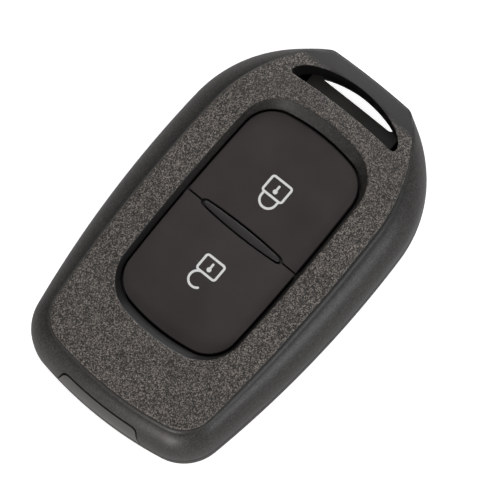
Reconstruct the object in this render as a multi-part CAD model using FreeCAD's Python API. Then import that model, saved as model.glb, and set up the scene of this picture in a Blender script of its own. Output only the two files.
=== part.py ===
"""Two-button remote key fob: a snap-together shell with its keys, switches, board and cell.

Millimetres. The fob lies on its back: X across, Y along with the ring slot at +Y, Z up through the
keys. The origin is the middle of the foot print on the resting face.
"""
import FreeCAD, Part
import math
import os
from dataclasses import dataclass, replace

V = FreeCAD.Vector

# Overall size
LENGTH = 75.0
WIDTH = 46.3
PARTING_Z = 6.2                  # height of the joint line between the two half shells
HALF_LENGTH = LENGTH / 2

# Body outline seen from the front, arcs tangent to each other but for the corners at the ring end
WIDEST_Y = 6.0                   # where the sides are furthest apart
SIDE_RADIUS = 198.0
SHOULDER_RADIUS = 23.5
NOSE_RADIUS = 140.0              # bow of the straight-looking end beside the slot
NOSE_HALF = 8.6                  # half length of that end
CORNER_RADIUS = 8.4
TAIL_RADIUS = 72.0

# Raised grained plateau inside the outline
BEVEL_SIDE = 4.45                # width of the satin bevel along the sides
BEVEL_TAIL = 3.7                 # and along the tail
PLATEAU_WIDEST_Y = 3.0
PLATEAU_SIDE_RADIUS = 300.0
PLATEAU_SHOULDER_RADIUS = 30.0
PLATEAU_CORNER_RADIUS = 6.4
PLATEAU_TAIL_RADIUS = 64.0
BEVEL_UPRIGHT = 0.2              # share of the bevel's height that stands upright
BEVEL_SHARE = 0.8                # share of the bevel's width that its roll takes, the cove takes the rest
BEVEL_SWEEP = math.radians(62.0)
BEVEL_STRIPS = 5
SHELF_Z = 12.9                   # top of the bevel, at the foot of the plateau's cove
CROWN_Z = 15.33                  # top of the plateau's crown, which the key opening cuts away
CROWN_RADIUS = 260.0             # cross curvature of the plateau
BEND_Y = 18.0                    # where the plateau starts to fall towards the ring end
NOSE_FALL_RADIUS = 58.0
TAIL_FALL_RADIUS = 1700.0

# Shell walls
WALL = 1.6
FLOOR = 1.6
CAVITY_WALL_Z = 8.6              # the cavity's wall is upright to here and leans in above
CAVITY_LEAN = 2.8                # how far it leans in by the roof
EDGE_ROLL = 4.6                  # how far the rear shell's rounded edge runs in by the resting face
EDGE_RISE = 4.9                  # height of that rounded edge
EDGE_STRIPS = 5
SEAM_STEP = 0.12                 # the rear shell is this much smaller than the front at the joint line
ROOF_Z = 12.5                    # underside of the front shell over the board
LIP = 1.0                        # thickness of the rear shell's locating lip
LIP_HEIGHT = 1.4
FIT = 0.1                        # clearance between pieces that are pushed together
SNAP_LENGTH = 5.0
SNAP_DEPTH = 0.35
SNAP_Y = (14.0, -6.0, -24.0)

# Ring slot
SLOT_BORDER = 2.8                # ring end to the slot
SLOT_WIDTH = 5.2                 # from the straight edge to the top of the arc
SLOT_APEX_Y = HALF_LENGTH - SLOT_BORDER
SLOT_STRAIGHT_Y = SLOT_APEX_Y - SLOT_WIDTH
SLOT_STRAIGHT_BOW = 0.4
SLOT_HALF = 11.5
SLOT_FOOT_HALF = 10.2            # half length where the front shell's shaft ends
SLOT_CORNER_Y = 0.55             # height of the short end walls of the slot
LEDGE_GAP = 1.85
LEDGE_Y = SLOT_APEX_Y - LEDGE_GAP   # free edge of the ledge inside the slot
LEDGE_Z = 7.4
LEDGE_THICK = 2.0
LEDGE_BOW = 0.3
SLOT_REAR_WIDTH = 4.3
SLOT_REAR_Y = SLOT_APEX_Y - SLOT_REAR_WIDTH     # straight edge of the slot on the back
COLLAR_BORDER = 1.1              # wall of the slot's collar on the rear shell

# Key pad
PAD_TO_SLOT = 5.7
PAD_TO_TAIL = 17.3
PAD_TOP_Y = SLOT_STRAIGHT_Y - PAD_TO_SLOT
PAD_BOTTOM_Y = PAD_TO_TAIL - HALF_LENGTH
PAD_HALF = 12.15
PAD_SIDE_RADIUS = 420.0
PAD_END_RADIUS = 36.0
PAD_CORNER_RADIUS = 6.0
PAD_Z = 13.3                     # top of the keys
PAD_EDGE_BEVEL = 0.35
KEY_GAP = 0.38                   # slit between the keys and the shell
KEY_PLATE = 1.2                  # thickness of a key's top
KEY_WALL = 1.1
KEY_FLANGE = 0.9                 # how far a key's foot reaches under the frame
KEY_FLANGE_THICK = 0.8
KEY_PLAY = 0.2                   # gap between a key's foot and the frame above it
KEY_TRAVEL = 0.4
KEY_CLEARANCE = 0.1              # kept below a pressed key
SPLIT_SHIFT = 0.25
SPLIT_Y = (PAD_TOP_Y + PAD_BOTTOM_Y) / 2 + SPLIT_SHIFT      # line where the two keys meet
SPLIT_GAP = 0.3
RECESS_EDGE_Z = 13.05            # foot of the sloped bank around the keys
BANK_SIDE = 0.38                 # horizontal run of the bank per millimetre of height
BANK_NOSE = 1.18
BANK_TAIL = 0.92
LENS_HALF = 8.9                  # lens-shaped opening between the keys
LENS_RISE = 1.1
LENS_SHOULDER = (7.6, 0.78)
LENS_GAP = 0.28
RIDGE_RISE = 0.1                 # the ridge in the lens stands this far over the keys
RIDGE_BEVEL = 0.15

# Frame that holds the keys
FRAME_THICK = 1.0
FRAME_BORDER = 2.2
BAR_HALF = 0.9
BAR_THICK = 0.6
STAKE_SIDE = 1.3
STAKE_BORDER = 4.0               # pad's ends to the stakes
STAKE_Y = (PAD_TOP_Y - STAKE_BORDER, PAD_BOTTOM_Y + STAKE_BORDER)
ROOT = 0.3                       # how deep a stake, post or rib runs into what carries it

# Blade opening in the tail and its plug
NOTCH_FOOT_HALF = 8.95
NOTCH_TOP_HALF = 7.75
NOTCH_TOP_Z = 11.0
NOTCH_CORNER = 0.6
PLUG_GAP = 0.12
PLUG_DEPTH = 2.4
PLUG_ROOM = 6.0                  # depth of the gap in the rear shell's lip behind the plug
TONGUE_HALF = 5.5
TONGUE_LENGTH = 3.0
TONGUE_HEIGHT = 2.2

# Board and its parts
BOARD_Z = 6.0                    # underside of the board
BOARD_THICK = 0.8
BOARD_MARGIN = 3.9               # board edge to body outline
BOARD_TO_SLOT = 4.1
BOARD_TO_TAIL = 6.9
BOARD_TOP_Y = SLOT_STRAIGHT_Y - BOARD_TO_SLOT
BOARD_BOTTOM_Y = BOARD_TO_TAIL - HALF_LENGTH
POST_SIDE = 3.2
PEG_RADIUS = 0.75
PEG_RISE = 0.5
POST_TO_SIDE = 3.5               # board edge to a post's axis
POST_TO_END = 7.8
POST_BORDER = BOARD_MARGIN + POST_TO_SIDE
POST_Y = (BOARD_TOP_Y - POST_TO_END, BOARD_BOTTOM_Y + POST_TO_END)
PRESS_POST = (1.3, 3.4)          # section of the front shell's posts that hold the board down
PRESS_POST_GAP = 0.8             # between such a post and the key frame
PRESS_POST_Y = (8.0, -10.0)

CELL_RADIUS = 10.0
CELL_HEIGHT = 3.2
CELL_TO_TAIL = 28.5
CELL_Y = CELL_TO_TAIL - HALF_LENGTH
CELL_CAP_RADIUS = 8.6
CELL_CAP_RISE = 0.25
CELL_GAP = 0.35
CRADLE_WALL = 1.0
CRADLE_HEIGHT = 2.5
CRADLE_OPENING = 10.0            # gap in the cradle that lets the clip through
CLIP_THICK = 0.3
CLIP_WIDTH = 6.0
CLIP_FOOT = 1.5
CONTACT_WIDTH = 3.0
CONTACT_THICK = 0.2
CONTACT_REACH = 6.0
CONTACT_PAD = 1.4                # flat ends of the tongue

SWITCH_SIDE = 6.2
SWITCH_HEIGHT = 2.0
SWITCH_COVER = 0.2
SWITCH_CORNER = 0.5
SWITCH_COVER_BORDER = 0.2        # the housing shows this far round its cover
SWITCH_REACH = 10.0              # line between the keys to each switch
SWITCH_Y = {"lock": SPLIT_Y + SWITCH_REACH, "unlock": SPLIT_Y - SWITCH_REACH}
PLUNGER_RADIUS = 1.6
PLUNGER_FLANGE = 0.6             # how far the plunger's square foot reaches past its stem
PLUNGER_FLANGE_THICK = 0.6
PLUNGER_RISE = 0.5               # stands this far above the switch
PLUNGER_FIT = 0.05
BOSS_SIDE = 3.4
BOSS_GAP = 0.05
RIB = 0.8

CHIPS = {                        # node: (x, y, length, width, height)
    "microcontroller": (-8.6, 2.2, 7.0, 7.0, 1.0),
    "rf_transmitter": (8.6, 4.2, 5.0, 4.4, 0.9),
    "crystal": (8.8, -1.6, 5.0, 3.2, 1.2),
}
CHIP_BEVEL = 0.15
COIL_LENGTH = 11.0
COIL_SIDE = 2.6
COIL_BORDER = 4.0
COIL_Y = BOARD_TOP_Y - COIL_BORDER
COIL_WINDING_LENGTH = 7.4
COIL_WINDING = 0.35
ANTENNA_WIDTH = 0.9
ANTENNA_THICK = 0.3
ANTENNA_INSET = 0.8              # board edge to antenna
ANTENNA_FROM_Y = PRESS_POST_Y[0] + PRESS_POST[1] / 2 + 0.5
PASSIVE = (1.6, 0.8, 0.6)        # length, width and height of a chip part
PASSIVE_PITCH = 2.4
PASSIVE_COUNT = 5
ROW_START = -5.0
ROW_TO_EDGE = 10.2               # board's tail edge to the resistors
ROW_GAP = 3.2
RESISTOR_Y = BOARD_BOTTOM_Y + ROW_TO_EDGE
CAPACITOR_Y = RESISTOR_Y + ROW_GAP

BOARD_TOP_Z = BOARD_Z + BOARD_THICK
FAR = 60.0                       # beyond every face of the fob


@dataclass(frozen=True)
class Circle:
    """A circle in the plan view."""

    x: float
    y: float
    r: float

    def toward(self, x, y):
        """Return the circle's point in the direction of x, y."""
        span = math.hypot(x - self.x, y - self.y)
        return self.x + (x - self.x) * self.r / span, self.y + (y - self.y) * self.r / span

    def shrunk(self, inset):
        """Return the same circle drawn inset further in."""
        return Circle(self.x, self.y, self.r - inset)


def crossings(a, b):
    """Return the two crossing points of circles a and b."""
    dx, dy = b.x - a.x, b.y - a.y
    span = math.hypot(dx, dy)
    along = (a.r ** 2 - b.r ** 2 + span ** 2) / (2 * span)
    off = math.sqrt(a.r ** 2 - along ** 2)
    mx, my = a.x + along * dx / span, a.y + along * dy / span
    return (mx + off * dy / span, my - off * dx / span), (mx - off * dy / span, my + off * dx / span)


def inner_tangent(a, b, radius, pick):
    """Return the circle of a radius that touches a and b from inside, the crossing that pick likes best."""
    x, y = max(crossings(a.shrunk(radius), b.shrunk(radius)), key=pick)
    return Circle(x, y, radius)


def bow(circle, start, end, z):
    """Return the short arc of a circle from start to end at height z."""
    middle = circle.toward((start[0] + end[0]) / 2, (start[1] + end[1]) / 2)
    return Part.Arc(V(*start, z), V(*middle, z), V(*end, z)).toShape()


def mirrored(point):
    """Return a plan point mirrored over the fob's long axis."""
    return -point[0], point[1]


def symmetric_wire(top, right, bottom, z):
    """Close a wire from a top arc, the arcs down the right side, a bottom arc and their mirror images.

    right is a list of (circle, start, end) from top to bottom.
    """
    first, last = right[0][1], right[-1][2]
    edges = [bow(top, mirrored(first), first, z)]
    edges += [bow(c, a, b, z) for c, a, b in right]
    edges.append(bow(bottom, last, mirrored(last), z))
    for c, a, b in reversed(right):
        edges.append(bow(Circle(-c.x, c.y, c.r), mirrored(b), mirrored(a), z))
    return Part.Wire(edges)


@dataclass(frozen=True)
class BodyOutline:
    """Outline with bowed sides, round tail corners and sweeping shoulders that stop at the nose."""

    half: float
    widest_y: float
    side_r: float
    shoulder_r: float
    corner_r: float
    tail_r: float
    nose_y: float
    nose_half: float
    tail_y: float

    def blended(self, other, share):
        """Return the outline a share of the way to another."""
        mix = {k: (1 - share) * v + share * getattr(other, k) for k, v in self.__dict__.items()}
        return replace(self, **mix)

    def arcs(self, inset=0.0):
        """Return the nose circle, the right side's arcs as (circle, start, end), and the tail circle."""
        side = Circle(self.half - self.side_r, self.widest_y, self.side_r)
        tail = Circle(0.0, self.tail_y + self.tail_r, self.tail_r)
        nose = Circle(0.0, self.nose_y - NOSE_RADIUS, NOSE_RADIUS)
        corner = inner_tangent(side, tail, self.corner_r, lambda p: p[0] - p[1])
        nose_end = (self.nose_half, nose.y + math.sqrt(nose.r ** 2 - self.nose_half ** 2))
        spot = Circle(*nose_end, self.shoulder_r)
        hub = min(crossings(side.shrunk(self.shoulder_r), spot), key=lambda p: p[1])
        shoulder = Circle(*hub, self.shoulder_r)
        side, tail, nose, corner, shoulder = (c.shrunk(inset) for c in (side, tail, nose, corner, shoulder))
        nose_end = max(crossings(nose, shoulder), key=lambda p: p[0])
        below_shoulder = side.toward(shoulder.x, shoulder.y)
        above_corner = side.toward(corner.x, corner.y)
        below_corner = tail.toward(corner.x, corner.y)
        right = [
            (shoulder, nose_end, below_shoulder),
            (side, below_shoulder, above_corner),
            (corner, above_corner, below_corner),
        ]
        return nose, right, tail

    def wire(self, z, inset=0.0):
        """Return the closed wire at height z, parallel to the outline and inset from it."""
        return symmetric_wire(*self.arcs(inset), z)

    def half_width(self, y):
        """Return how far the outline reaches to the side at y, between its nose and its tail corners."""
        circle = next(c for c, start, end in self.arcs()[1] if start[1] >= y >= end[1])
        return circle.x + math.sqrt(circle.r ** 2 - (y - circle.y) ** 2)


BODY = BodyOutline(
    WIDTH / 2, WIDEST_Y, SIDE_RADIUS, SHOULDER_RADIUS, CORNER_RADIUS, TAIL_RADIUS,
    HALF_LENGTH, NOSE_HALF, -HALF_LENGTH,
)
PLATEAU = BodyOutline(
    WIDTH / 2 - BEVEL_SIDE, PLATEAU_WIDEST_Y, PLATEAU_SIDE_RADIUS, PLATEAU_SHOULDER_RADIUS,
    PLATEAU_CORNER_RADIUS, PLATEAU_TAIL_RADIUS, HALF_LENGTH, NOSE_HALF, BEVEL_TAIL - HALF_LENGTH,
)


def pad_wire(z, side=0.0, nose=0.0, tail=0.0):
    """Return the key pad's outline at height z, grown at the sides, the nose end and the tail end."""
    grown = (nose + tail) / 2
    flank = Circle(PAD_HALF + side - PAD_SIDE_RADIUS, (PAD_TOP_Y + PAD_BOTTOM_Y) / 2, PAD_SIDE_RADIUS)
    top = Circle(0.0, PAD_TOP_Y + nose - PAD_END_RADIUS, PAD_END_RADIUS)
    bottom = Circle(0.0, PAD_BOTTOM_Y - tail + PAD_END_RADIUS, PAD_END_RADIUS)
    radius = PAD_CORNER_RADIUS + grown
    upper = inner_tangent(flank, top, radius, lambda p: p[0] + p[1])
    lower = inner_tangent(flank, bottom, radius, lambda p: p[0] - p[1])
    a, b = top.toward(upper.x, upper.y), flank.toward(upper.x, upper.y)
    c, d = flank.toward(lower.x, lower.y), bottom.toward(lower.x, lower.y)
    return symmetric_wire(top, [(upper, a, b), (flank, b, c), (lower, c, d)], bottom, z)


def pad_block(low, high, grown=0.0):
    """Return the key pad's outline, grown evenly, as a block from low to high."""
    return prism(pad_wire(low, grown, grown, grown), high - low)


def prism(wire, height):
    """Return a closed plan wire pulled up by a height."""
    return Part.Face(wire).extrude(V(0, 0, height))


def box(x, y, z, length, width, height):
    """Return a box centred on x, y that stands on height z."""
    return Part.makeBox(length, width, height, V(x - length / 2, y - width / 2, z))


def cylinder(x, y, z, radius, height):
    """Return an upright cylinder that stands on height z."""
    return Part.makeCylinder(radius, height, V(x, y, z))


def loft(wires, ruled=False):
    """Return the solid through a stack of closed wires."""
    return Part.makeLoft(wires, True, ruled)


def cut_each(shape, tools):
    """Return a shape with every tool cut away in turn."""
    for tool in tools:
        shape = shape.cut(tool)
    return shape


def both_sides(spots):
    """Return each spot and its mirror image over the long axis."""
    return [(side * x, y) for x, y in spots for side in (1, -1)]


def post_spots():
    """Return the places of the rear shell's posts under the board."""
    return both_sides([(BODY.half_width(y) - POST_BORDER, y) for y in POST_Y])


def peg_spots():
    """Return the two posts across from each other whose pegs locate the board."""
    upper_right, _, _, lower_left = post_spots()
    return [upper_right, lower_left]


def press_post_spots():
    """Return the places of the front shell's posts that hold the board down beside the key frame."""
    x = PAD_HALF + KEY_GAP + FRAME_BORDER + PRESS_POST_GAP + PRESS_POST[0] / 2
    return both_sides([(x, y) for y in PRESS_POST_Y])


def crown_block():
    """Return the block whose top is the plateau's surface: crowned across, falling towards the ring end."""
    def section(x):
        top = CROWN_Z - x ** 2 / (2 * CROWN_RADIUS)

        def at(y):
            radius = NOSE_FALL_RADIUS if y > BEND_Y else TAIL_FALL_RADIUS
            return V(x, y, top - radius + math.sqrt(radius ** 2 - (y - BEND_Y) ** 2))
        ends = (-HALF_LENGTH - WALL, HALF_LENGTH + WALL)
        tail = Part.Arc(at(ends[0]), at((ends[0] + BEND_Y) / 2), at(BEND_Y)).toShape()
        nose = Part.Arc(at(BEND_Y), at((ends[1] + BEND_Y) / 2), at(ends[1])).toShape()
        corners = [at(ends[1]), V(x, ends[1], 0), V(x, ends[0], 0), at(ends[0])]
        base = [Part.LineSegment(a, b).toShape() for a, b in zip(corners, corners[1:])]
        return Part.Wire([tail, nose] + base)
    return loft([section(share * WIDTH / 2 * 1.1) for share in (-1, -0.5, 0, 0.5, 1)])


def front_form():
    """Return the front shell's outer form: the rolled bevel, the cove and the crowned plateau."""
    rise = SHELF_Z - PARTING_Z
    upright = PARTING_Z + BEVEL_UPRIGHT * rise
    width = BEVEL_SHARE / (1 - math.cos(BEVEL_SWEEP))
    height = (SHELF_Z - upright) / math.sin(BEVEL_SWEEP)
    turns = [BEVEL_SWEEP * i / BEVEL_STRIPS for i in range(BEVEL_STRIPS + 1)]
    roll = [(width * (1 - math.cos(t)), upright + height * math.sin(t)) for t in turns]
    step = CROWN_Z - SHELF_Z
    cove = [(0.95, SHELF_Z + 0.15 * step), (1.0, SHELF_Z + 0.55 * step), (1.0, CROWN_Z + ROOT)]
    outlines = [BODY.blended(PLATEAU, share).wire(z) for share, z in [(0.0, PARTING_Z)] + roll + cove]
    return loft(outlines, True).common(crown_block())


def slot_wire(z, straight, half, bow_by):
    """Return the crescent of the ring slot at height z."""
    shoulder = (half, straight + SLOT_CORNER_Y)
    foot = (half - SLOT_CORNER_Y, straight)
    arc = Part.Arc(V(-shoulder[0], shoulder[1], z), V(0, SLOT_APEX_Y, z), V(shoulder[0], shoulder[1], z))
    edge = Part.Arc(V(foot[0], foot[1], z), V(0, straight + bow_by, z), V(-foot[0], foot[1], z))
    right = Part.LineSegment(V(shoulder[0], shoulder[1], z), V(foot[0], foot[1], z))
    left = Part.LineSegment(V(-foot[0], foot[1], z), V(-shoulder[0], shoulder[1], z))
    return Part.Wire([arc.toShape(), right.toShape(), edge.toShape(), left.toShape()])


def ledge_half(straight):
    """Return how far the slot's arc lets a straight edge reach to each side at the ledge."""
    rise = SLOT_APEX_Y - SLOT_STRAIGHT_Y - SLOT_CORNER_Y
    radius = (SLOT_FOOT_HALF ** 2 + rise ** 2) / (2 * rise)
    drop = SLOT_APEX_Y - straight - SLOT_CORNER_Y
    return math.sqrt(radius ** 2 - (radius - drop) ** 2)


def slot_shaft():
    """Return the space of the slot through the front shell, narrowing downwards."""
    mouth = slot_wire(CROWN_Z, SLOT_STRAIGHT_Y, SLOT_HALF, SLOT_STRAIGHT_BOW)
    foot = slot_wire(PARTING_Z - 1.0, SLOT_STRAIGHT_Y, SLOT_FOOT_HALF, SLOT_STRAIGHT_BOW)
    return loft([mouth, foot], True)


def slot_neck():
    """Return the space of the slot through the rear shell: a neck past the ledge that flares to the back."""
    half = ledge_half(LEDGE_Y)
    neck_z = LEDGE_Z - LEDGE_THICK
    neck = prism(slot_wire(neck_z, LEDGE_Y, half, LEDGE_BOW), LEDGE_THICK + 1.0)
    flare = loft([
        slot_wire(neck_z, LEDGE_Y, half, LEDGE_BOW),
        slot_wire(-1.0, SLOT_REAR_Y, ledge_half(SLOT_REAR_Y), SLOT_STRAIGHT_BOW),
    ], True)
    return neck.fuse(flare)


def collar_block(gap=0.0):
    """Return the raised collar of the rear shell around the slot, grown by a gap."""
    wire = slot_wire(
        PARTING_Z - 1.0, SLOT_STRAIGHT_Y - COLLAR_BORDER - gap, SLOT_FOOT_HALF + gap, SLOT_STRAIGHT_BOW,
    )
    return prism(wire, LEDGE_Z - PARTING_Z + 1.0 + gap)


def notch_block(gap=0.0):
    """Return the trapezoid of the blade opening, drawn in by a gap, through the tail wall."""
    top_z, top, foot = NOTCH_TOP_Z - gap, NOTCH_TOP_HALF - gap, NOTCH_FOOT_HALF - gap
    low = PARTING_Z - 1.0 if gap == 0 else PARTING_Z
    wide = foot + (foot - top) * (PARTING_Z - low) / (top_z - PARTING_Z)
    y = -FAR
    corners = [V(-wide, y, low), V(-top, y, top_z), V(top, y, top_z), V(wide, y, low)]
    face = Part.Face(Part.makePolygon(corners + corners[:1]))
    block = face.extrude(V(0, FAR - HALF_LENGTH + PLUG_DEPTH - gap, 0))
    upper = [e for e in block.Edges if e.BoundBox.ZMin > top_z - 0.01 and e.BoundBox.XLength < 0.01]
    return block.makeFillet(NOTCH_CORNER, upper)


def snap_blocks(grown):
    """Return the snap ridges along both long sides, grown on every face."""
    length, size = SNAP_LENGTH + 2 * grown, SNAP_DEPTH + grown
    z = PARTING_Z + LIP_HEIGHT / 2
    blocks = []
    for y in SNAP_Y:
        x = BODY.half_width(y) - WALL - FIT
        for side in (1, -1):
            profile = [V(side * (x - LIP / 2), 0, z - size), V(side * (x - LIP / 2), 0, z + size)]
            profile += [V(side * x, 0, z + size), V(side * (x + size), 0, z), V(side * x, 0, z - size)]
            face = Part.Face(Part.makePolygon(profile + profile[:1]))
            face.translate(V(0, y - length / 2, 0))
            blocks.append(face.extrude(V(0, length, 0)))
    return blocks


def front_shell():
    """Return the front half: bevel, plateau, key recess, ring slot, blade opening and board posts."""
    inner = loft([
        BODY.wire(PARTING_Z - 1.0, WALL),
        BODY.wire(CAVITY_WALL_Z, WALL),
        BODY.wire(ROOF_Z, WALL + CAVITY_LEAN),
    ], True)
    nose_wall = SLOT_STRAIGHT_Y - COLLAR_BORDER - WALL - FIT
    behind_slot = Part.makeBox(WIDTH, nose_wall + HALF_LENGTH, FAR, V(-WIDTH / 2, -HALF_LENGTH, 0))
    shell = front_form().cut(inner.common(behind_slot))
    rise = CROWN_Z + ROOT - RECESS_EDGE_Z
    runs = [KEY_GAP + run * rise for run in (BANK_SIDE, BANK_NOSE, BANK_TAIL)]
    bank = loft([pad_wire(RECESS_EDGE_Z, KEY_GAP, KEY_GAP, KEY_GAP), pad_wire(CROWN_Z + ROOT, *runs)], True)
    aperture = pad_block(ROOF_Z - 1.0, RECESS_EDGE_Z, KEY_GAP)
    cuts = [bank, aperture, slot_shaft(), collar_block(FIT), notch_block()]
    shell = cut_each(shell, cuts + snap_blocks(FIT))
    posts = [
        box(x, y, BOARD_TOP_Z, PRESS_POST[0], PRESS_POST[1], ROOF_Z + ROOT - BOARD_TOP_Z)
        for x, y in press_post_spots()
    ]
    stakes = [
        box(x, y, ROOF_Z - FRAME_THICK - ROOT, STAKE_SIDE, STAKE_SIDE, FRAME_THICK + 2 * ROOT)
        for x, y in stake_spots()
    ]
    return shell.fuse(posts + stakes)


def stake_spots():
    """Return the places of the stakes that hold the key frame."""
    return both_sides([(PAD_HALF + KEY_GAP + FRAME_BORDER / 2 - FIT, y) for y in STAKE_Y])


def rear_shell():
    """Return the back half: rounded tray, locating lip with snaps, slot collar, cell cradle and posts."""
    turns = [math.pi / 2 * i / EDGE_STRIPS for i in range(EDGE_STRIPS + 1)]
    edge = [(EDGE_RISE * (1 - math.sin(t)), SEAM_STEP + EDGE_ROLL * (1 - math.cos(t))) for t in turns]
    form = loft([BODY.wire(z, inset) for z, inset in [(PARTING_Z, SEAM_STEP)] + edge], True)
    lip = prism(BODY.wire(PARTING_Z - 1.0, WALL + FIT), LIP_HEIGHT + 1.0)
    nose_wall = SLOT_STRAIGHT_Y - COLLAR_BORDER - WALL
    tray = prism(BODY.wire(FLOOR, WALL + FIT + LIP), FAR)
    room = Part.makeBox(WIDTH, nose_wall + HALF_LENGTH, FAR, V(-WIDTH / 2, -HALF_LENGTH, 0))
    lip_room = Part.makeBox(WIDTH, nose_wall - FIT + HALF_LENGTH, FAR, V(-WIDTH / 2, -HALF_LENGTH, 0))
    shell = form.fuse([lip.common(lip_room), collar_block()] + snap_blocks(0.0))
    plug_room = box(0, -HALF_LENGTH, PARTING_Z, 2 * NOTCH_FOOT_HALF + 2 * FIT, 2 * PLUG_ROOM, FAR)
    shell = cut_each(shell, [tray.common(room), plug_room, slot_neck()])
    cradle = cylinder(0, CELL_Y, FLOOR, CELL_RADIUS + CELL_GAP + CRADLE_WALL, CRADLE_HEIGHT)
    cradle = cradle.cut([
        cylinder(0, CELL_Y, FLOOR, CELL_RADIUS + CELL_GAP, CRADLE_HEIGHT),
        box(0, CELL_Y, FLOOR, FAR, CRADLE_OPENING, CRADLE_HEIGHT),
    ])
    posts = [box(x, y, FLOOR / 2, POST_SIDE, POST_SIDE, BOARD_Z - FLOOR / 2) for x, y in post_spots()]
    pegs = [
        cylinder(x, y, BOARD_Z - ROOT, PEG_RADIUS, BOARD_THICK + PEG_RISE + ROOT) for x, y in peg_spots()
    ]
    return shell.fuse([cradle] + posts + pegs)


def lens_wire(z, shrink=0.0):
    """Return the blunt lens between the keys at height z, drawn in by shrink."""
    half, rise = LENS_HALF - 1.5 * shrink, LENS_RISE - shrink
    x, y = LENS_SHOULDER[0] - 0.6 * shrink, LENS_SHOULDER[1] - shrink

    def spot(px, py):
        return V(px, SPLIT_Y + py, z)
    upper = Part.Arc(spot(-x, y), spot(0, rise), spot(x, y)).toShape()
    lower = Part.Arc(spot(x, -y), spot(0, -rise), spot(-x, -y)).toShape()
    right = [spot(x, y), spot(half, 0), spot(x, -y)]
    left = [spot(-x, -y), spot(-half, 0), spot(-x, y)]
    ends = [Part.LineSegment(a, b).toShape() for side in (right, left) for a, b in zip(side, side[1:])]
    return Part.Wire([upper, ends[0], ends[1], lower, ends[2], ends[3]])


def key_frame():
    """Return the frame staked under the front shell: two windows, the bar between and the lens ridge."""
    low = ROOF_Z - FRAME_THICK
    ring = pad_block(low, ROOF_Z, KEY_GAP + FRAME_BORDER).cut(pad_block(low, ROOF_Z, KEY_GAP))
    bar = box(0, SPLIT_Y, low, 2 * (PAD_HALF + KEY_GAP + ROOT), 2 * BAR_HALF, BAR_THICK)
    ridge = prism(lens_wire(low, LENS_GAP), PAD_Z + RIDGE_RISE - low)
    rim = [e for e in ridge.Edges if e.BoundBox.ZMin > PAD_Z]
    ridge = ridge.makeChamfer(RIDGE_BEVEL, rim)
    hole = STAKE_SIDE + 2 * FIT
    holes = [box(x, y, low, hole, hole, FRAME_THICK) for x, y in stake_spots()]
    return cut_each(ring.fuse([bar, ridge]), holes)


def key(side, switch_y):
    """Return one key: side is 1 for the ring end and -1 for the tail end."""
    frame_low = ROOF_Z - FRAME_THICK
    flange_top = frame_low - KEY_PLAY
    foot = flange_top - KEY_FLANGE_THICK
    cap = pad_block(foot, PAD_Z)
    rim = [e for e in cap.Edges if e.BoundBox.ZMin > PAD_Z - 0.01]
    cap = cap.makeChamfer(PAD_EDGE_BEVEL, rim)
    cap = cap.fuse(pad_block(foot, flange_top, KEY_FLANGE))
    edge = SPLIT_Y + side * SPLIT_GAP / 2
    setback = SPLIT_Y + side * (BAR_HALF + KEY_GAP)
    under = frame_low + BAR_THICK + KEY_TRAVEL + KEY_CLEARANCE
    away = box(0, edge - side * FAR / 2, 0, FAR, FAR, FAR)
    away_low = box(0, setback - side * FAR / 2, 0, FAR, FAR, under)
    lens = prism(lens_wire(foot), FAR)
    hollow = pad_block(foot, PAD_Z - KEY_PLATE, -KEY_WALL)
    hollow = hollow.cut(box(0, setback + side * KEY_WALL - side * FAR / 2, 0, FAR, FAR, FAR))
    cap = cut_each(cap, [away, away_low, lens, hollow])
    top = PAD_Z - KEY_PLATE + ROOT
    boss_foot = BOARD_TOP_Z + SWITCH_HEIGHT + SWITCH_COVER + PLUNGER_RISE + BOSS_GAP
    boss = box(0, switch_y, boss_foot, BOSS_SIDE, BOSS_SIDE, top - boss_foot)
    inside = hollow.common(box(0, switch_y, foot, FAR, RIB, FAR))
    return cap.fuse([boss, inside.common(box(0, switch_y, foot, FAR, FAR, top - foot))])


def blade_slot_plug():
    """Return the plug in the blade opening: an outer face flush with the bevel and a tongue inside."""
    face = front_form().common(notch_block(PLUG_GAP))
    inner_y = PLUG_DEPTH - HALF_LENGTH - PLUG_GAP
    corner = V(-TONGUE_HALF, inner_y - ROOT, BOARD_TOP_Z + FIT)
    tongue = Part.makeBox(2 * TONGUE_HALF, TONGUE_LENGTH + ROOT, TONGUE_HEIGHT, corner)
    return face.fuse(tongue)


def board_form(z, height, margin, top_y, bottom_y):
    """Return a plate that follows the body outline between two lines across the fob."""
    room = Part.makeBox(WIDTH, top_y - bottom_y, FAR, V(-WIDTH / 2, bottom_y, 0))
    return prism(BODY.wire(z, margin), height).common(room)


def circuit_board():
    """Return the board with the holes for the rear shell's pegs."""
    board = board_form(BOARD_Z, BOARD_THICK, BOARD_MARGIN, BOARD_TOP_Y, BOARD_BOTTOM_Y)
    return cut_each(board, [cylinder(x, y, BOARD_Z, PEG_RADIUS + FIT, BOARD_THICK) for x, y in peg_spots()])


def coin_cell():
    """Return the cell: a wide can with the smaller cap upwards."""
    low = FLOOR + CLIP_THICK
    shoulder = low + CELL_HEIGHT - CELL_CAP_RISE
    can = cylinder(0, CELL_Y, low, CELL_RADIUS, shoulder - low)
    return can.fuse(cylinder(0, CELL_Y, shoulder - ROOT, CELL_CAP_RADIUS, CELL_CAP_RISE + ROOT))


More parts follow.
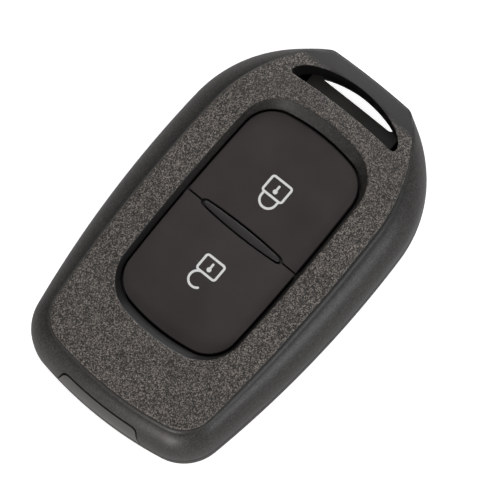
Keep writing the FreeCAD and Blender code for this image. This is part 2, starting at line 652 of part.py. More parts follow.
def battery_positive_clip():
    """Return the strap under the cell with a leg and a solder foot at each side."""
    inner = CELL_RADIUS + CELL_GAP
    outer = inner + CLIP_THICK
    y = CELL_Y - CLIP_WIDTH / 2
    strap = Part.makeBox(2 * outer, CLIP_WIDTH, CLIP_THICK, V(-outer, y, FLOOR))
    legs, feet = [], []
    for side in (1, -1):
        x = inner if side > 0 else -outer
        legs.append(Part.makeBox(CLIP_THICK, CLIP_WIDTH, BOARD_Z - FLOOR, V(x, y, FLOOR)))
        x = inner if side > 0 else -inner - CLIP_FOOT
        feet.append(Part.makeBox(CLIP_FOOT, CLIP_WIDTH, CLIP_THICK, V(x, y, BOARD_Z - CLIP_THICK)))
    return strap.fuse(legs + feet).removeSplitter()


def battery_negative_contact():
    """Return the bent tongue that leads from the board down to the cell's cap."""
    top, low = BOARD_Z, FLOOR + CLIP_THICK + CELL_HEIGHT
    t, y = CONTACT_THICK, CELL_Y
    half = CONTACT_REACH / 2
    bend = half - CONTACT_PAD
    points = [(-half, top), (-half, top - t), (-bend, top - t), (bend, low)]
    points += [(half, low), (half, low + t), (bend + t / 2, low + t), (-bend + t / 2, top)]
    corners = [V(x, y - CONTACT_WIDTH / 2, z) for x, z in points]
    return Part.Face(Part.makePolygon(corners + corners[:1])).extrude(V(0, CONTACT_WIDTH, 0))


def switch_housing(y):
    """Return a switch body with the square chamber its plunger's foot slides in."""
    body = box(0, y, BOARD_TOP_Z, SWITCH_SIDE, SWITCH_SIDE, SWITCH_HEIGHT)
    corners = [e for e in body.Edges if e.BoundBox.ZLength > SWITCH_HEIGHT - 0.01]
    body = body.makeChamfer(SWITCH_CORNER, corners)
    wide = 2 * (PLUNGER_RADIUS + PLUNGER_FLANGE + FIT)
    floor = plunger_foot() - KEY_TRAVEL - KEY_CLEARANCE
    return body.cut(box(0, y, floor, wide, wide, FAR))


def plunger_foot():
    """Return the height of the plunger's foot at rest."""
    return BOARD_TOP_Z + SWITCH_HEIGHT - PLUNGER_FLANGE_THICK - PLUNGER_FIT


def switch_cover(y):
    """Return the metal plate over a switch with the hole that guides the plunger."""
    side = SWITCH_SIDE - 2 * SWITCH_COVER_BORDER
    plate = box(0, y, BOARD_TOP_Z + SWITCH_HEIGHT, side, side, SWITCH_COVER)
    return plate.cut(cylinder(0, y, BOARD_TOP_Z, PLUNGER_RADIUS + PLUNGER_FIT, FAR))


def switch_plunger(y):
    """Return a plunger: a round stem through the cover on a square foot below it."""
    foot = plunger_foot()
    top = BOARD_TOP_Z + SWITCH_HEIGHT + SWITCH_COVER + PLUNGER_RISE
    wide = 2 * (PLUNGER_RADIUS + PLUNGER_FLANGE)
    stem = cylinder(0, y, foot, PLUNGER_RADIUS, top - foot)
    return stem.fuse(box(0, y, foot, wide, wide, PLUNGER_FLANGE_THICK))


def chip(x, y, length, width, height):
    """Return a chip package with a bevelled top edge."""
    body = box(x, y, BOARD_TOP_Z, length, width, height)
    rim = [e for e in body.Edges if e.BoundBox.ZMin > BOARD_TOP_Z + height - 0.01]
    return body.makeChamfer(CHIP_BEVEL, rim)


def coil_core():
    """Return the ferrite core of the transponder coil, wider at its ends."""
    slim = COIL_SIDE - 2 * COIL_WINDING
    core = box(0, COIL_Y, BOARD_TOP_Z, COIL_LENGTH, COIL_SIDE, COIL_SIDE)
    waist = box(0, COIL_Y, BOARD_TOP_Z, COIL_WINDING_LENGTH, FAR, FAR)
    return core.cut(waist).fuse(box(0, COIL_Y, BOARD_TOP_Z + COIL_WINDING, COIL_LENGTH, slim, slim))


def coil_winding():
    """Return the winding around the core's waist."""
    body = box(0, COIL_Y, BOARD_TOP_Z, COIL_WINDING_LENGTH, COIL_SIDE, COIL_SIDE)
    slim = COIL_SIDE - 2 * COIL_WINDING
    return body.cut(box(0, COIL_Y, BOARD_TOP_Z + COIL_WINDING, COIL_LENGTH, slim, slim))


def loop_antenna():
    """Return the flat loop that follows the board's edge round the ring end."""
    def plate(inset, low_y):
        return board_form(BOARD_TOP_Z, ANTENNA_THICK, BOARD_MARGIN + inset, BOARD_TOP_Y - inset, low_y)
    outer = plate(ANTENNA_INSET, ANTENNA_FROM_Y)
    return outer.cut(plate(ANTENNA_INSET + ANTENNA_WIDTH, ANTENNA_FROM_Y - ANTENNA_WIDTH))


def passive_row(y):
    """Return a row of chip parts side by side."""
    length, width, height = PASSIVE
    spots = [ROW_START + i * PASSIVE_PITCH for i in range(PASSIVE_COUNT)]
    return Part.makeCompound([box(x, y, BOARD_TOP_Z, length, width, height) for x in spots])


def parts():
    """Return every node of the fob by name."""
    nodes = {
        "front_shell": front_shell(),
        "rear_shell": rear_shell(),
        "key_frame": key_frame(),
        "lock_button": key(1, SWITCH_Y["lock"]),
        "unlock_button": key(-1, SWITCH_Y["unlock"]),
        "blade_slot_plug": blade_slot_plug(),
        "circuit_board": circuit_board(),
        "coin_cell": coin_cell(),
        "battery_positive_clip": battery_positive_clip(),
        "battery_negative_contact": battery_negative_contact(),
        "lf_coil_core": coil_core(),
        "lf_coil_winding": coil_winding(),
        "loop_antenna": loop_antenna(),
        "chip_capacitors": passive_row(CAPACITOR_Y),
        "chip_resistors": passive_row(RESISTOR_Y),
    }
    for name, y in SWITCH_Y.items():
        nodes[f"{name}_switch_housing"] = switch_housing(y)
        nodes[f"{name}_switch_cover"] = switch_cover(y)
        nodes[f"{name}_switch_plunger"] = switch_plunger(y)
    for name, place in CHIPS.items():
        nodes[name] = chip(*place)
    return nodes


def main():
    """Write one STEP file for each node."""
    os.makedirs("parts", exist_ok=True)
    for name, shape in parts().items():
        if len(shape.Solids) == 1:
            shape = shape.Solids[0]
        shape.exportStep(os.path.join("parts", name + ".step"))
        b = shape.BoundBox
        print(
            f"{name}: {len(shape.Solids)} solid, valid {shape.isValid()}, volume {shape.Volume:.1f}, "
            f"x {b.XMin:.2f}..{b.XMax:.2f}, y {b.YMin:.2f}..{b.YMax:.2f}, z {b.ZMin:.2f}..{b.ZMax:.2f}"
        )


main()
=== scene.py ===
"""Dresses a two-button remote key fob: moulded shells, keys, printed signs and the board inside.

Sizes are in millimetres, and meshes are turned to metres when they are made. X runs across the fob, Y along
it with the ring slot at +Y, and Z up through the keys.
"""
import logging
import math
from contextlib import contextmanager
from dataclasses import dataclass, replace
from enum import Enum
from typing import Callable, Iterable, Iterator, Sequence

import bmesh
import bpy
from mathutils import Matrix, Vector


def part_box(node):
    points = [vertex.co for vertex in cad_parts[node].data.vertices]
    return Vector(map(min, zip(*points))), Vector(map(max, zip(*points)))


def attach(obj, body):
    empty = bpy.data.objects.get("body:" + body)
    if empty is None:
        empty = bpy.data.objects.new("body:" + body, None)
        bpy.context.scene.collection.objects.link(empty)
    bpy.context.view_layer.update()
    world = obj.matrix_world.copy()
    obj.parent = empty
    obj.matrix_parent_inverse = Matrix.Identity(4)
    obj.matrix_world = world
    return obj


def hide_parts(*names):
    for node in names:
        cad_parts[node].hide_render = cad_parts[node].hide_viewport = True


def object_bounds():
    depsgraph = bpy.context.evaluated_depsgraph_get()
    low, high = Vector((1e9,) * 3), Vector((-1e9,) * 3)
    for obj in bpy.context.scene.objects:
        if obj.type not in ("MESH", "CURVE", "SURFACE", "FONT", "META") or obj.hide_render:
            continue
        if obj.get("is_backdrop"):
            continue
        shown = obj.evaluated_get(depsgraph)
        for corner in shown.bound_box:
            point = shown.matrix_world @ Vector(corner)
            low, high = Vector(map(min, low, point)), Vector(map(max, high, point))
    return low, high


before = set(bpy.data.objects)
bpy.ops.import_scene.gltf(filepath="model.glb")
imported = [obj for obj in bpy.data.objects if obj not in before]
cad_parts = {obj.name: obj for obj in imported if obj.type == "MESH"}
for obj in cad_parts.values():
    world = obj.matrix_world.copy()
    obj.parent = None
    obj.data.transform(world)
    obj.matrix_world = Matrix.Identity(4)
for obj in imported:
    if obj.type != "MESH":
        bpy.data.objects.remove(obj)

MM = 0.001
FAR = 20.0                      # reach of a tool past every piece
ZONE_COUNT = 6
LOG = logging.getLogger("fob")

Point = tuple[float, float]
Spot = tuple[float, float, float]
Colour = tuple[int, int, int]
Mesh = bpy.types.Mesh
Material = bpy.types.Material
Node = bpy.types.Node
Socket = bpy.types.NodeSocket
Piece = bpy.types.Object


# --- Plan outlines ---

@dataclass(frozen=True)
class Circle:
    """A circle in the plan view."""

    x: float
    y: float
    r: float

    def toward(self, other: "Circle") -> Point:
        """Return this circle's point in the direction of another's centre."""
        span = math.hypot(other.x - self.x, other.y - self.y)
        return self.x + (other.x - self.x) * self.r / span, self.y + (other.y - self.y) * self.r / span

    def shrunk(self, inset: float) -> "Circle":
        """Return the same circle drawn inset further in."""
        return Circle(self.x, self.y, self.r - inset)

    def sweep(self, start: Point, end: Point, count: int) -> list[Point]:
        """Return points along the short arc.

        Args:
            start: First point of the arc, included.
            end: Last point of the arc, left out.
            count: How many points to return.

        Returns:
            The points, evenly spaced in angle.
        """
        first = math.atan2(start[1] - self.y, start[0] - self.x)
        turn = math.atan2(end[1] - self.y, end[0] - self.x) - first
        turn = (turn + math.pi) % (2 * math.pi) - math.pi
        angles = [first + turn * i / count for i in range(count)]
        return [(self.x + self.r * math.cos(a), self.y + self.r * math.sin(a)) for a in angles]


def crossings(a: Circle, b: Circle) -> list[Point]:
    """Return the two crossing points of two circles.

    Args:
        a: First circle.
        b: Second circle.

    Returns:
        The crossing to the right of the way from a to b, then the one to its left.
    """
    dx, dy = b.x - a.x, b.y - a.y
    span = math.hypot(dx, dy)
    along = (a.r ** 2 - b.r ** 2 + span ** 2) / (2 * span)
    off = math.sqrt(max(a.r ** 2 - along ** 2, 0.0))
    mx, my = a.x + along * dx / span, a.y + along * dy / span
    return [(mx + off * dy / span, my - off * dx / span), (mx - off * dy / span, my + off * dx / span)]


def inner_tangent(a: Circle, b: Circle, radius: float, pick: Callable[[Point], float]) -> Circle:
    """Return a circle of a radius that touches two others from inside, at the centre with the highest pick."""
    x, y = max(crossings(a.shrunk(radius), b.shrunk(radius)), key=pick)
    return Circle(x, y, radius)


def outline(arcs: Sequence[Circle], joints: Sequence[Point], counts: Sequence[int]) -> list[Point]:
    """Return a closed outline from the arcs of its right half and their mirror image.

    Args:
        arcs: Circles from the top to the bottom.
        joints: Where each arc starts, then where the last one ends.
        counts: Number of points on each arc.

    Returns:
        Points from the middle of the top clockwise.
    """
    right: list[Point] = []
    for circle, start, end, count in zip(arcs, joints, joints[1:], counts):
        right += circle.sweep(start, end, count)
    right.append(joints[-1])
    return right + [(-x, y) for x, y in reversed(right[1:-1])]


@dataclass(frozen=True)
class BodyOutline:
    """Outline with bowed sides, round tail corners and sweeping shoulders that stop at the nose."""

    half: float
    widest_y: float
    side_r: float
    shoulder_r: float
    corner_r: float
    tail_r: float
    nose_y: float
    nose_half: float
    tail_y: float
    nose_r: float = 140.0
    nose_corner_r: float = 1.6
    counts: tuple[int, ...] = (22, 10, 86, 62, 34, 36)

    def blended(self, other: "BodyOutline", share: float) -> "BodyOutline":
        """Return the outline a share of the way to another."""
        sizes = {k: v for k, v in self.__dict__.items() if k != "counts"}
        return replace(self, **{k: (1 - share) * v + share * getattr(other, k) for k, v in sizes.items()})

    def ring(self, inset: float = 0.0) -> list[Point]:
        """Return the closed outline, drawn in by an inset.

        Args:
            inset: Distance that the outline is drawn in, parallel to itself.

        Returns:
            As many points for every outline, from the middle of the nose clockwise.
        """
        side = Circle(self.half - self.side_r, self.widest_y, self.side_r)
        tail = Circle(0.0, self.tail_y + self.tail_r, self.tail_r)
        nose = Circle(0.0, self.nose_y - self.nose_r, self.nose_r)
        corner = inner_tangent(side, tail, self.corner_r, lambda p: p[0] - p[1])
        nose_end = Circle(self.nose_half, nose.y + math.sqrt(nose.r ** 2 - self.nose_half ** 2), self.shoulder_r)
        hub = min(crossings(side.shrunk(self.shoulder_r), nose_end), key=lambda p: p[1])
        arcs = (nose, Circle(*hub, self.shoulder_r), side, corner, tail)
        nose, shoulder, side, corner, tail = (c.shrunk(inset) for c in arcs)
        knuckle = inner_tangent(nose, shoulder, max(self.nose_corner_r - inset, 0.1), lambda p: p[0] + p[1])
        return outline((nose, knuckle, shoulder, side, corner, tail), [
            (0.0, nose.y + nose.r), nose.toward(knuckle), shoulder.toward(knuckle), side.toward(shoulder),
            side.toward(corner), tail.toward(corner), (0.0, tail.y - tail.r),
        ], self.counts)


@dataclass(frozen=True)
class PadOutline:
    """Rounded rectangle with bowed sides around both keys."""

    top_y: float = 23.8
    bottom_y: float = -20.2
    half: float = 12.15
    side_r: float = 420.0
    end_r: float = 36.0
    corner_r: float = 6.0
    counts: tuple[int, ...] = (46, 38, 82, 40, 44)

    def ring(self, side: float = 0.0, nose: float | None = None, tail: float | None = None) -> list[Point]:
        """Return the closed outline.

        Args:
            side: Growth at both sides, and at an end for which none is given.
            nose: Growth at the ring end.
            tail: Growth at the tail end.

        Returns:
            Points from the middle of the ring end clockwise.
        """
        nose, tail = (side if growth is None else growth for growth in (nose, tail))
        flank = Circle(self.half + side - self.side_r, (self.top_y + self.bottom_y) / 2, self.side_r)
        top = Circle(0.0, self.top_y + nose - self.end_r, self.end_r)
        bottom = Circle(0.0, self.bottom_y - tail + self.end_r, self.end_r)
        radius = self.corner_r + (nose + tail) / 2
        upper = inner_tangent(flank, top, radius, lambda p: p[0] + p[1])
        lower = inner_tangent(flank, bottom, radius, lambda p: p[0] - p[1])
        return outline((top, upper, flank, lower, bottom), [
            (0.0, top.y + top.r), top.toward(upper), flank.toward(upper), flank.toward(lower),
            bottom.toward(lower), (0.0, bottom.y - bottom.r),
        ], self.counts)


@dataclass(frozen=True)
class Plan:
    """Sizes that several pieces share."""

    length: float = 75.0
    parting_z: float = 6.2
    shelf_z: float = 12.9
    crown_z: float = 15.33
    crown_r: float = 260.0
    bend_y: float = 18.0
    nose_fall_r: float = 58.0
    tail_fall_r: float = 1700.0
    pad_z: float = 13.3
    key_gap: float = 0.38
    recess_z: float = 13.05
    roof_z: float = 12.5
    wall: float = 1.6
    fit: float = 0.1
    split_y: float = 2.05
    split_gap: float = 0.3
    bar_half: float = 0.9
    slot_apex_y: float = 34.65
    slot_straight_y: float = 29.1
    collar_border: float = 0.7
    ledge_z: float = 7.4
    past: float = 1.0
    under_keys: float = 5.0

    @property
    def end(self) -> float:
        """Return the distance from the middle to either end."""
        return self.length / 2

    @property
    def body(self) -> BodyOutline:
        """Return the outline at the joint line."""
        return BodyOutline(23.15, 6.0, 198.0, 23.5, 8.4, 72.0, self.end, 8.6, -self.end)

    @property
    def plateau(self) -> BodyOutline:
        """Return the outline of the grained plateau."""
        return BodyOutline(18.7, 3.0, 300.0, 30.0, 6.4, 64.0, self.end, 8.6, 3.7 - self.end)

    @property
    def nose_wall_y(self) -> float:
        """Return where the hollow stops before the ring slot."""
        return self.slot_straight_y - self.collar_border - self.wall

    def crown(self, x: float, y: float) -> float:
        """Return the height of the crowned top at a plan point."""
        radius = self.nose_fall_r if y > self.bend_y else self.tail_fall_r
        return self.crown_z - x * x / (2 * self.crown_r) - radius + math.sqrt(radius ** 2 - (y - self.bend_y) ** 2)


PLAN = Plan()
PAD = PadOutline()


def lift(ring: Iterable[Point], z: float) -> list[Spot]:
    """Return plan points at one height."""
    return [(x, y, z) for x, y in ring]


def mix(a: Sequence[float], b: Sequence[float], share: float) -> tuple[float, ...]:
    """Return a point a share of the way from a to b."""
    return tuple(p + (q - p) * share for p, q in zip(a, b))


def bent(a: Sequence[float], knee: Sequence[float], b: Sequence[float], share: float) -> tuple[float, ...]:
    """Return a point a share of the way along the curve from a to b that a knee draws out."""
    return mix(mix(a, knee, share), mix(knee, b, share), share)


def quarter(count: int, span: float = math.pi / 2) -> list[Point]:
    """Return 1 - cos and 1 - sin of so many angles from nothing to a span."""
    turns = [span * i / (count - 1) for i in range(count)]
    return [(1 - math.cos(turn), 1 - math.sin(turn)) for turn in turns]


def around(centre: Point, radius: float, turn: float) -> Point:
    """Return the point of a circle at a turn in degrees."""
    return centre[0] + radius * math.cos(math.radians(turn)), centre[1] + radius * math.sin(math.radians(turn))


def bow(centre: Point, radius: float, start: float, end: float, count: int = 26) -> list[Point]:
    """Return an arc from a start to an end in degrees."""
    return [around(centre, radius, start + (end - start) * i / count) for i in range(count + 1)]


def disc(centre: Point, radius: float) -> list[Point]:
    """Return a full circle as 24 points."""
    return bow(centre, radius, 0, 345, 23)


def soft_min(a: float, b: float, width: float) -> float:
    """Return the smaller of two heights, eased into it so that a higher a always gives a higher result."""
    return b + ((a - b) - math.hypot(a - b, width)) / 2


def offset(ring: Sequence[Point], distance: float) -> list[Point]:
    """Return a closed polygon moved out along its corners' bisectors.

    Args:
        ring: Plan points, in either sense.
        distance: How far to move, negative inwards.

    Returns:
        As many points.
    """
    area = sum(a[0] * b[1] - b[0] * a[1] for a, b in zip(ring, list(ring[1:]) + [ring[0]]))
    sense = 1.0 if area > 0 else -1.0
    moved = []
    for i, here in enumerate(ring):
        before, after = ring[i - 1], ring[(i + 1) % len(ring)]
        u = Vector((here[0] - before[0], here[1] - before[1])).normalized()
        v = Vector((after[0] - here[0], after[1] - here[1])).normalized()
        normal = Vector((u.y + v.y, -u.x - v.x)) * sense
        normal.normalize()
        reach = distance / max(normal.dot(Vector((u.y, -u.x)) * sense), 0.5)
        moved.append((here[0] + normal.x * reach, here[1] + normal.y * reach))
    return moved


# --- Mesh helpers ---

@contextmanager
def edited(mesh: Mesh) -> Iterator[bmesh.types.BMesh]:
    """Open a mesh for edits and write them back.

    Args:
        mesh: The mesh, changed in place.

    Yields:
        Its editable form.
    """
    bm = bmesh.new()
    bm.from_mesh(mesh)
    yield bm
    bm.to_mesh(mesh)
    bm.free()


def new_mesh(name: str, spots: Iterable[Spot], edges: Sequence = (), faces: Sequence = ()) -> Mesh:
    """Return a mesh in metres of points in millimetres.

    Args:
        name: Name of the mesh.
        spots: Its points in millimetres.
        edges: Pairs of point numbers.
        faces: Point numbers of each face.

    Returns:
        The mesh.
    """
    mesh = bpy.data.meshes.new(name)
    mesh.from_pydata([tuple(float(c) * MM for c in spot) for spot in spots], edges, faces)
    return mesh


def solid(
    name: str, rings: Sequence[Sequence[Spot]], zones: Sequence[int] = (0,), closed: bool = False,
) -> Mesh:
    """Return a closed mesh over a list of rings, with its faces outwards.

    Args:
        name: Name of the mesh.
        rings: Rings of as many points each.
        zones: Material zone of each band; the last one goes on.
        closed: Join the last ring to the first in place of capping both.

    Returns:
        The mesh in metres.
    """
    count = len(rings[0])
    starts = [count * i for i in range(len(rings))]
    faces, faces_zones = [], []
    for i, (low, high) in enumerate(zip(starts, starts[1:] + (starts[:1] if closed else []))):
        for j in range(count):
            k = (j + 1) % count
            faces.append((low + j, low + k, high + k, high + j))
            faces_zones.append(zones[min(i, len(zones) - 1)])
    if not closed:
        for start, zone in ((starts[0], zones[0]), (starts[-1], zones[-1])):
            faces.append(tuple(range(start, start + count)))
            faces_zones.append(zone)
    mesh = new_mesh(name, (spot for ring in rings for spot in ring), faces=faces)
    for _ in range(ZONE_COUNT):
        mesh.materials.append(None)
    mesh.polygons.foreach_set("material_index", faces_zones)
    with edited(mesh) as bm:
        bmesh.ops.recalc_face_normals(bm, faces=bm.faces)
    return mesh


def prism(name: str, ring: Sequence[Point], low: float, high: float, zone: int = 0) -> Mesh:
    """Return a closed plan polygon pulled up between two heights."""
    return solid(name, [lift(ring, low), lift(ring, high)], [zone])


def block(name: str, low: Spot, high: Spot, zone: int = 0) -> Mesh:
    """Return a box between two corners."""
    ring = [(low[0], low[1]), (high[0], low[1]), (high[0], high[1]), (low[0], high[1])]
    return prism(name, ring, low[2], high[2], zone)


def placed(name: str, data: bpy.types.ID) -> Piece:
    """Return a new object at the origin that holds a mesh, light or camera.

    Args:
        name: Name of the object.
        data: What it holds.

    Returns:
        The object.
    """
    obj = bpy.data.objects.new(name, data)
    bpy.context.scene.collection.objects.link(obj)
    return obj


def discard(obj: Piece) -> None:
    """Remove an object and its mesh.

    Args:
        obj: The object, used up.
    """
    mesh = obj.data
    bpy.data.objects.remove(obj)
    if mesh.users == 0:
        bpy.data.meshes.remove(mesh)


def baked(obj: Piece) -> Mesh:
    """Return the object's evaluated mesh, with the object and its modifiers gone.

    Args:
        obj: The object, used up.

    Returns:
        The mesh that its modifiers make of it.
    """
    graph = bpy.context.evaluated_depsgraph_get()
    mesh = bpy.data.meshes.new_from_object(obj.evaluated_get(graph), depsgraph=graph)
    discard(obj)
    return mesh


class Cut(Enum):
    """How a tool changes a solid."""

    AWAY = "DIFFERENCE"
    JOIN = "UNION"
    KEEP = "INTERSECT"


def carved(mesh: Mesh, *tools: tuple[Cut, Mesh]) -> Mesh:
    """Return a closed mesh changed by closed tools.

    Args:
        mesh: The solid, used up.
        tools: How each tool acts and its mesh, used up.

    Returns:
        The resulting mesh.
    """
    obj = placed("solid", mesh)
    helpers = []
    for way, tool in tools:
        helpers.append(placed("tool", tool))
        modifier = obj.modifiers.new("cut", "BOOLEAN")
        modifier.operation = way.value
        modifier.object = helpers[-1]
        modifier.solver = "EXACT"
        modifier.material_mode = "INDEX"
    result = baked(obj)
    for helper in helpers:
        discard(helper)
    return result


def joined(name: str, meshes: Sequence[Mesh]) -> Mesh:
    """Return one mesh of several closed ones, used up.

    Args:
        name: Name of the new mesh.
        meshes: The closed meshes, used up.

    Returns:
        The new mesh.
    """
    result = bpy.data.meshes.new(name)
    with edited(result) as bm:
        for mesh in meshes:
            bm.from_mesh(mesh)
            bpy.data.meshes.remove(mesh)
    return result


def softened(mesh: Mesh, z: float, width: float, steps: int) -> Mesh:
    """Return a mesh with the edges at one height rounded.

    Args:
        mesh: The mesh, changed in place.
        z: Height of the edges in millimetres.
        width: Width of the round in millimetres.
        steps: Number of faces across it.

    Returns:
        The same mesh.
    """
    with edited(mesh) as bm:
        edges = [e for e in bm.edges if all(abs(v.co.z - z * MM) < 1e-7 for v in e.verts)]
        bmesh.ops.bevel(
            bm, geom=edges, offset=width * MM, offset_type="OFFSET", segments=steps, profile=0.5,
            affect="EDGES", clamp_overlap=True,
        )
    return mesh


def open_edges(mesh: Mesh) -> int:
    """Return how many edges don't have exactly two faces.

    Args:
        mesh: The mesh to look at.

    Returns:
        The number, 0 for a closed mesh.
    """
    bm = bmesh.new()
    bm.from_mesh(mesh)
    count = sum(1 for e in bm.edges if len(e.link_faces) != 2)
    bm.free()
    return count


def extent(node: str) -> tuple[Vector, Vector, Vector]:
    """Return a node's lowest and highest corners and its middle, in millimetres."""
    low, high = (Vector(corner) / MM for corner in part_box(node))
    return low, high, (low + high) / 2


@dataclass
class Fitting:
    """Where a finished piece belongs."""

    name: str
    body: str
    slot: str
    replaces: tuple[str, ...] = ()

    def finish(self, mesh: Mesh, looks: Sequence["Finish"], angle: float = 32.0) -> Piece:
        """Dress a mesh as a piece of the fob.

        Args:
            mesh: The closed mesh in metres.
            looks: One finish for each zone.
            angle: Faces that meet at more than this many degrees keep a crisp edge.

        Returns:
            The piece.
        """
        zones = [poly.material_index for poly in mesh.polygons]
        mesh.materials.clear()
        for look in looks:
            mesh.materials.append(look.material)
        mesh.polygons.foreach_set("material_index", zones)
        mesh.shade_smooth()
        mesh.set_sharp_from_angle(angle=math.radians(angle))
        mesh.name = self.name
        obj = placed(self.name, mesh)
        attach(obj, self.body)
        if self.replaces:
            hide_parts(*self.replaces)
        LOG.info("%s: %d faces, %d open edges", self.name, len(mesh.polygons), open_edges(mesh))
        return obj


# --- Finishes ---

class NodeTree:
    """Adds nodes to a tree and joins them."""

    def __init__(self, tree: bpy.types.NodeTree) -> None:
        """Start with a tree."""
        self.tree = tree

    def put(self, target: Socket, value: object) -> None:
        """Give a socket a value, another socket or a node's first output.

        Args:
            target: The socket to fill.
            value: What it gets.
        """
        if isinstance(value, Node):
            value = value.outputs[0]
        if isinstance(value, Socket):
            self.tree.links.new(value, target)
        else:
            target.default_value = value

    def node(self, kind: str, given: dict[str | int, object] | None = None, **traits: object) -> Node:
        """Add a node.

        Args:
            kind: Type of the node.
            given: What each named or numbered input gets.
            traits: The node's own properties.

        Returns:
            The node.
        """
        node = self.tree.nodes.new(kind)
        for key, value in traits.items():
            setattr(node, key, value)
        for key, value in (given or {}).items():
            self.put(node.inputs[key], value)
        return node


def linear(colour: Colour) -> tuple[float, ...]:
    """Return a screen colour of 0 to 255 as linear light and full cover."""
    shares = (value / 255 for value in colour)
    return *(s / 12.92 if s <= 0.04045 else ((s + 0.055) / 1.055) ** 2.4 for s in shares), 1.0


class Shader(NodeTree):
    """Builds a node material step by step."""

    def __init__(self, name: str) -> None:
        """Start a material with its principled shader and object coordinates.

        Args:
            name: Name of the material.
        """
        self.material = bpy.data.materials.new(name)
        self.material.use_nodes = True
        super().__init__(self.material.node_tree)
        self.tree.nodes.clear()
        self.surface = self.node("ShaderNodeBsdfPrincipled")
        self.place = self.node("ShaderNodeTexCoord").outputs["Object"]
        self.node("ShaderNodeOutputMaterial", {"Surface": self.surface})

    def dress(self, colour: Socket, **values: object) -> None:
        """Give the principled shader its base colour and its other inputs, named with underscores.

        Args:
            colour: What drives the base colour.
            values: What each other input gets.
        """
        self.put(self.surface.inputs["Base Color"], colour)
        for key, value in values.items():
            self.put(self.surface.inputs[key.replace("_", " ")], value)

    def noise(self, per_mm: float, detail: float = 2.0, roughness: float = 0.5) -> Node:
        """Return a noise of so many cells to the millimetre.

        Args:
            per_mm: Number of cells.
            detail: Number of finer layers.
            roughness: Strength of these.

        Returns:
            The noise.
        """
        return self.node("ShaderNodeTexNoise", {
            "Scale": per_mm / MM, "Detail": detail, "Roughness": roughness, "Vector": self.place,
        })

    def cells(self, per_mm: float, output: str = "Distance") -> Socket:
        """Return the distance to scattered points, or their random colours, so many to the millimetre."""
        return self.node("ShaderNodeTexVoronoi", {"Scale": per_mm / MM, "Vector": self.place}).outputs[output]

    def ramp(self, value: Socket | Node, low: float, high: float, start: float, end: float) -> Node:
        """Return a value mapped from low..high to start..end, held at both ends.

        Args:
            value: The value to map.
            low: Where the ramp starts.
            high: Where it ends.
            start: Result up to low.
            end: Result from high on.

        Returns:
            The mapped value.
        """
        return self.node("ShaderNodeMapRange", {
            "Value": value, "From Min": low, "From Max": high, "To Min": start, "To Max": end,
        })

    def blend(self, share: Node | Socket, low: Colour | Socket, high: Colour) -> Socket:
        """Return the colour between low and high that a share picks."""
        low = linear(low) if isinstance(low, tuple) else low
        return self.node("ShaderNodeMix", {0: share, 6: low, 7: linear(high)}, data_type="RGBA").outputs[2]

    def openness(self, reach: float) -> Socket:
        """Return how open the surface is to its surroundings within a reach in millimetres."""
        return self.node("ShaderNodeAmbientOcclusion", {"Distance": reach * MM}, samples=8).outputs["AO"]

    def along_y(self, low: float, high: float, start: float = 0.0, end: float = 1.0) -> Node:
        """Return a value that goes from start to end between two places along the fob, in millimetres."""
        place = self.node("ShaderNodeSeparateXYZ", {0: self.place})
        return self.ramp(place.outputs["Y"], low * MM, high * MM, start, end)

    def bump(self, height: Node | Socket, depth: float) -> Node:
        """Raise the surface by a height map, depth in millimetres, and return the bump.

        Args:
            height: Height map from 0 to 1.
            depth: Height of 1 in millimetres.

        Returns:
            The bump's node.
        """
        node = self.node("ShaderNodeBump", {"Distance": depth * MM, "Height": height})
        self.put(self.surface.inputs["Normal"], node)
        return node


@dataclass(frozen=True)
class GrainedPlastic:
    """Moulded plastic with a fine sparkling grain, as on the plateau and, milder, on the bevels."""

    name: str
    base: Colour
    speck: Colour
    pit: Colour
    grains_per_mm: float = 4.4
    contrast: float = 1.0
    grain_depth: float = 0.05
    roughness: tuple[float, float] = (0.42, 0.62)
    specular: float = 0.5
    # Colour that takes over along fade: a smoother finish and painted shade.
    smooth: Colour | None = None
    fade: tuple[float, float] = (32.9, 34.0)
    # Colour of painted shade in hollows, where the surface is less open.
    hollow: Colour | None = None

    def paint(self, s: Shader) -> None:
        """Fill the material; a darker colour with less grain takes over along the fob, a smoother finish with
        painted shade, and painted shade darkens hollows.

        Args:
            s: Shader of the new material.
        """
        grains = s.ramp(s.cells(self.grains_per_mm, "Color"), 0.0, 1.0, 0.0, 0.7)
        fine = s.noise(self.grains_per_mm * 1.6, 2.0, 0.6)
        mixed = s.node("ShaderNodeMath", {0: fine, 1: 0.6, 2: grains}, operation="MULTIPLY_ADD")
        shade = s.blend(s.ramp(mixed, 0.38, 0.66, 1.0 - self.contrast, 1.0), self.pit, self.base)
        shade = s.blend(s.ramp(mixed, 0.66, 0.96, 0.0, self.contrast), shade, self.speck)
        shade = s.blend(s.ramp(s.noise(0.06), 0.4, 0.7, 0.0, 0.12), shade, self.pit)
        bump = s.bump(mixed, self.grain_depth)
        # Along the fob a darker colour with less grain takes over: a smoother finish and painted shade.
        if self.smooth:
            shade = s.blend(s.along_y(*self.fade), shade, self.smooth)
            s.put(bump.inputs["Strength"], s.along_y(*self.fade, 1.0, 0.15))
        # Painted shade: darker where the surface is less open within 3 mm, as in the cove.
        if self.hollow:
            shade = s.blend(s.ramp(s.openness(3.0), 0.8, 0.985, 1.0, 0.0), shade, self.hollow)
        s.dress(shade, Roughness=s.ramp(fine, 0.3, 0.7, *self.roughness), Specular_IOR_Level=self.specular)


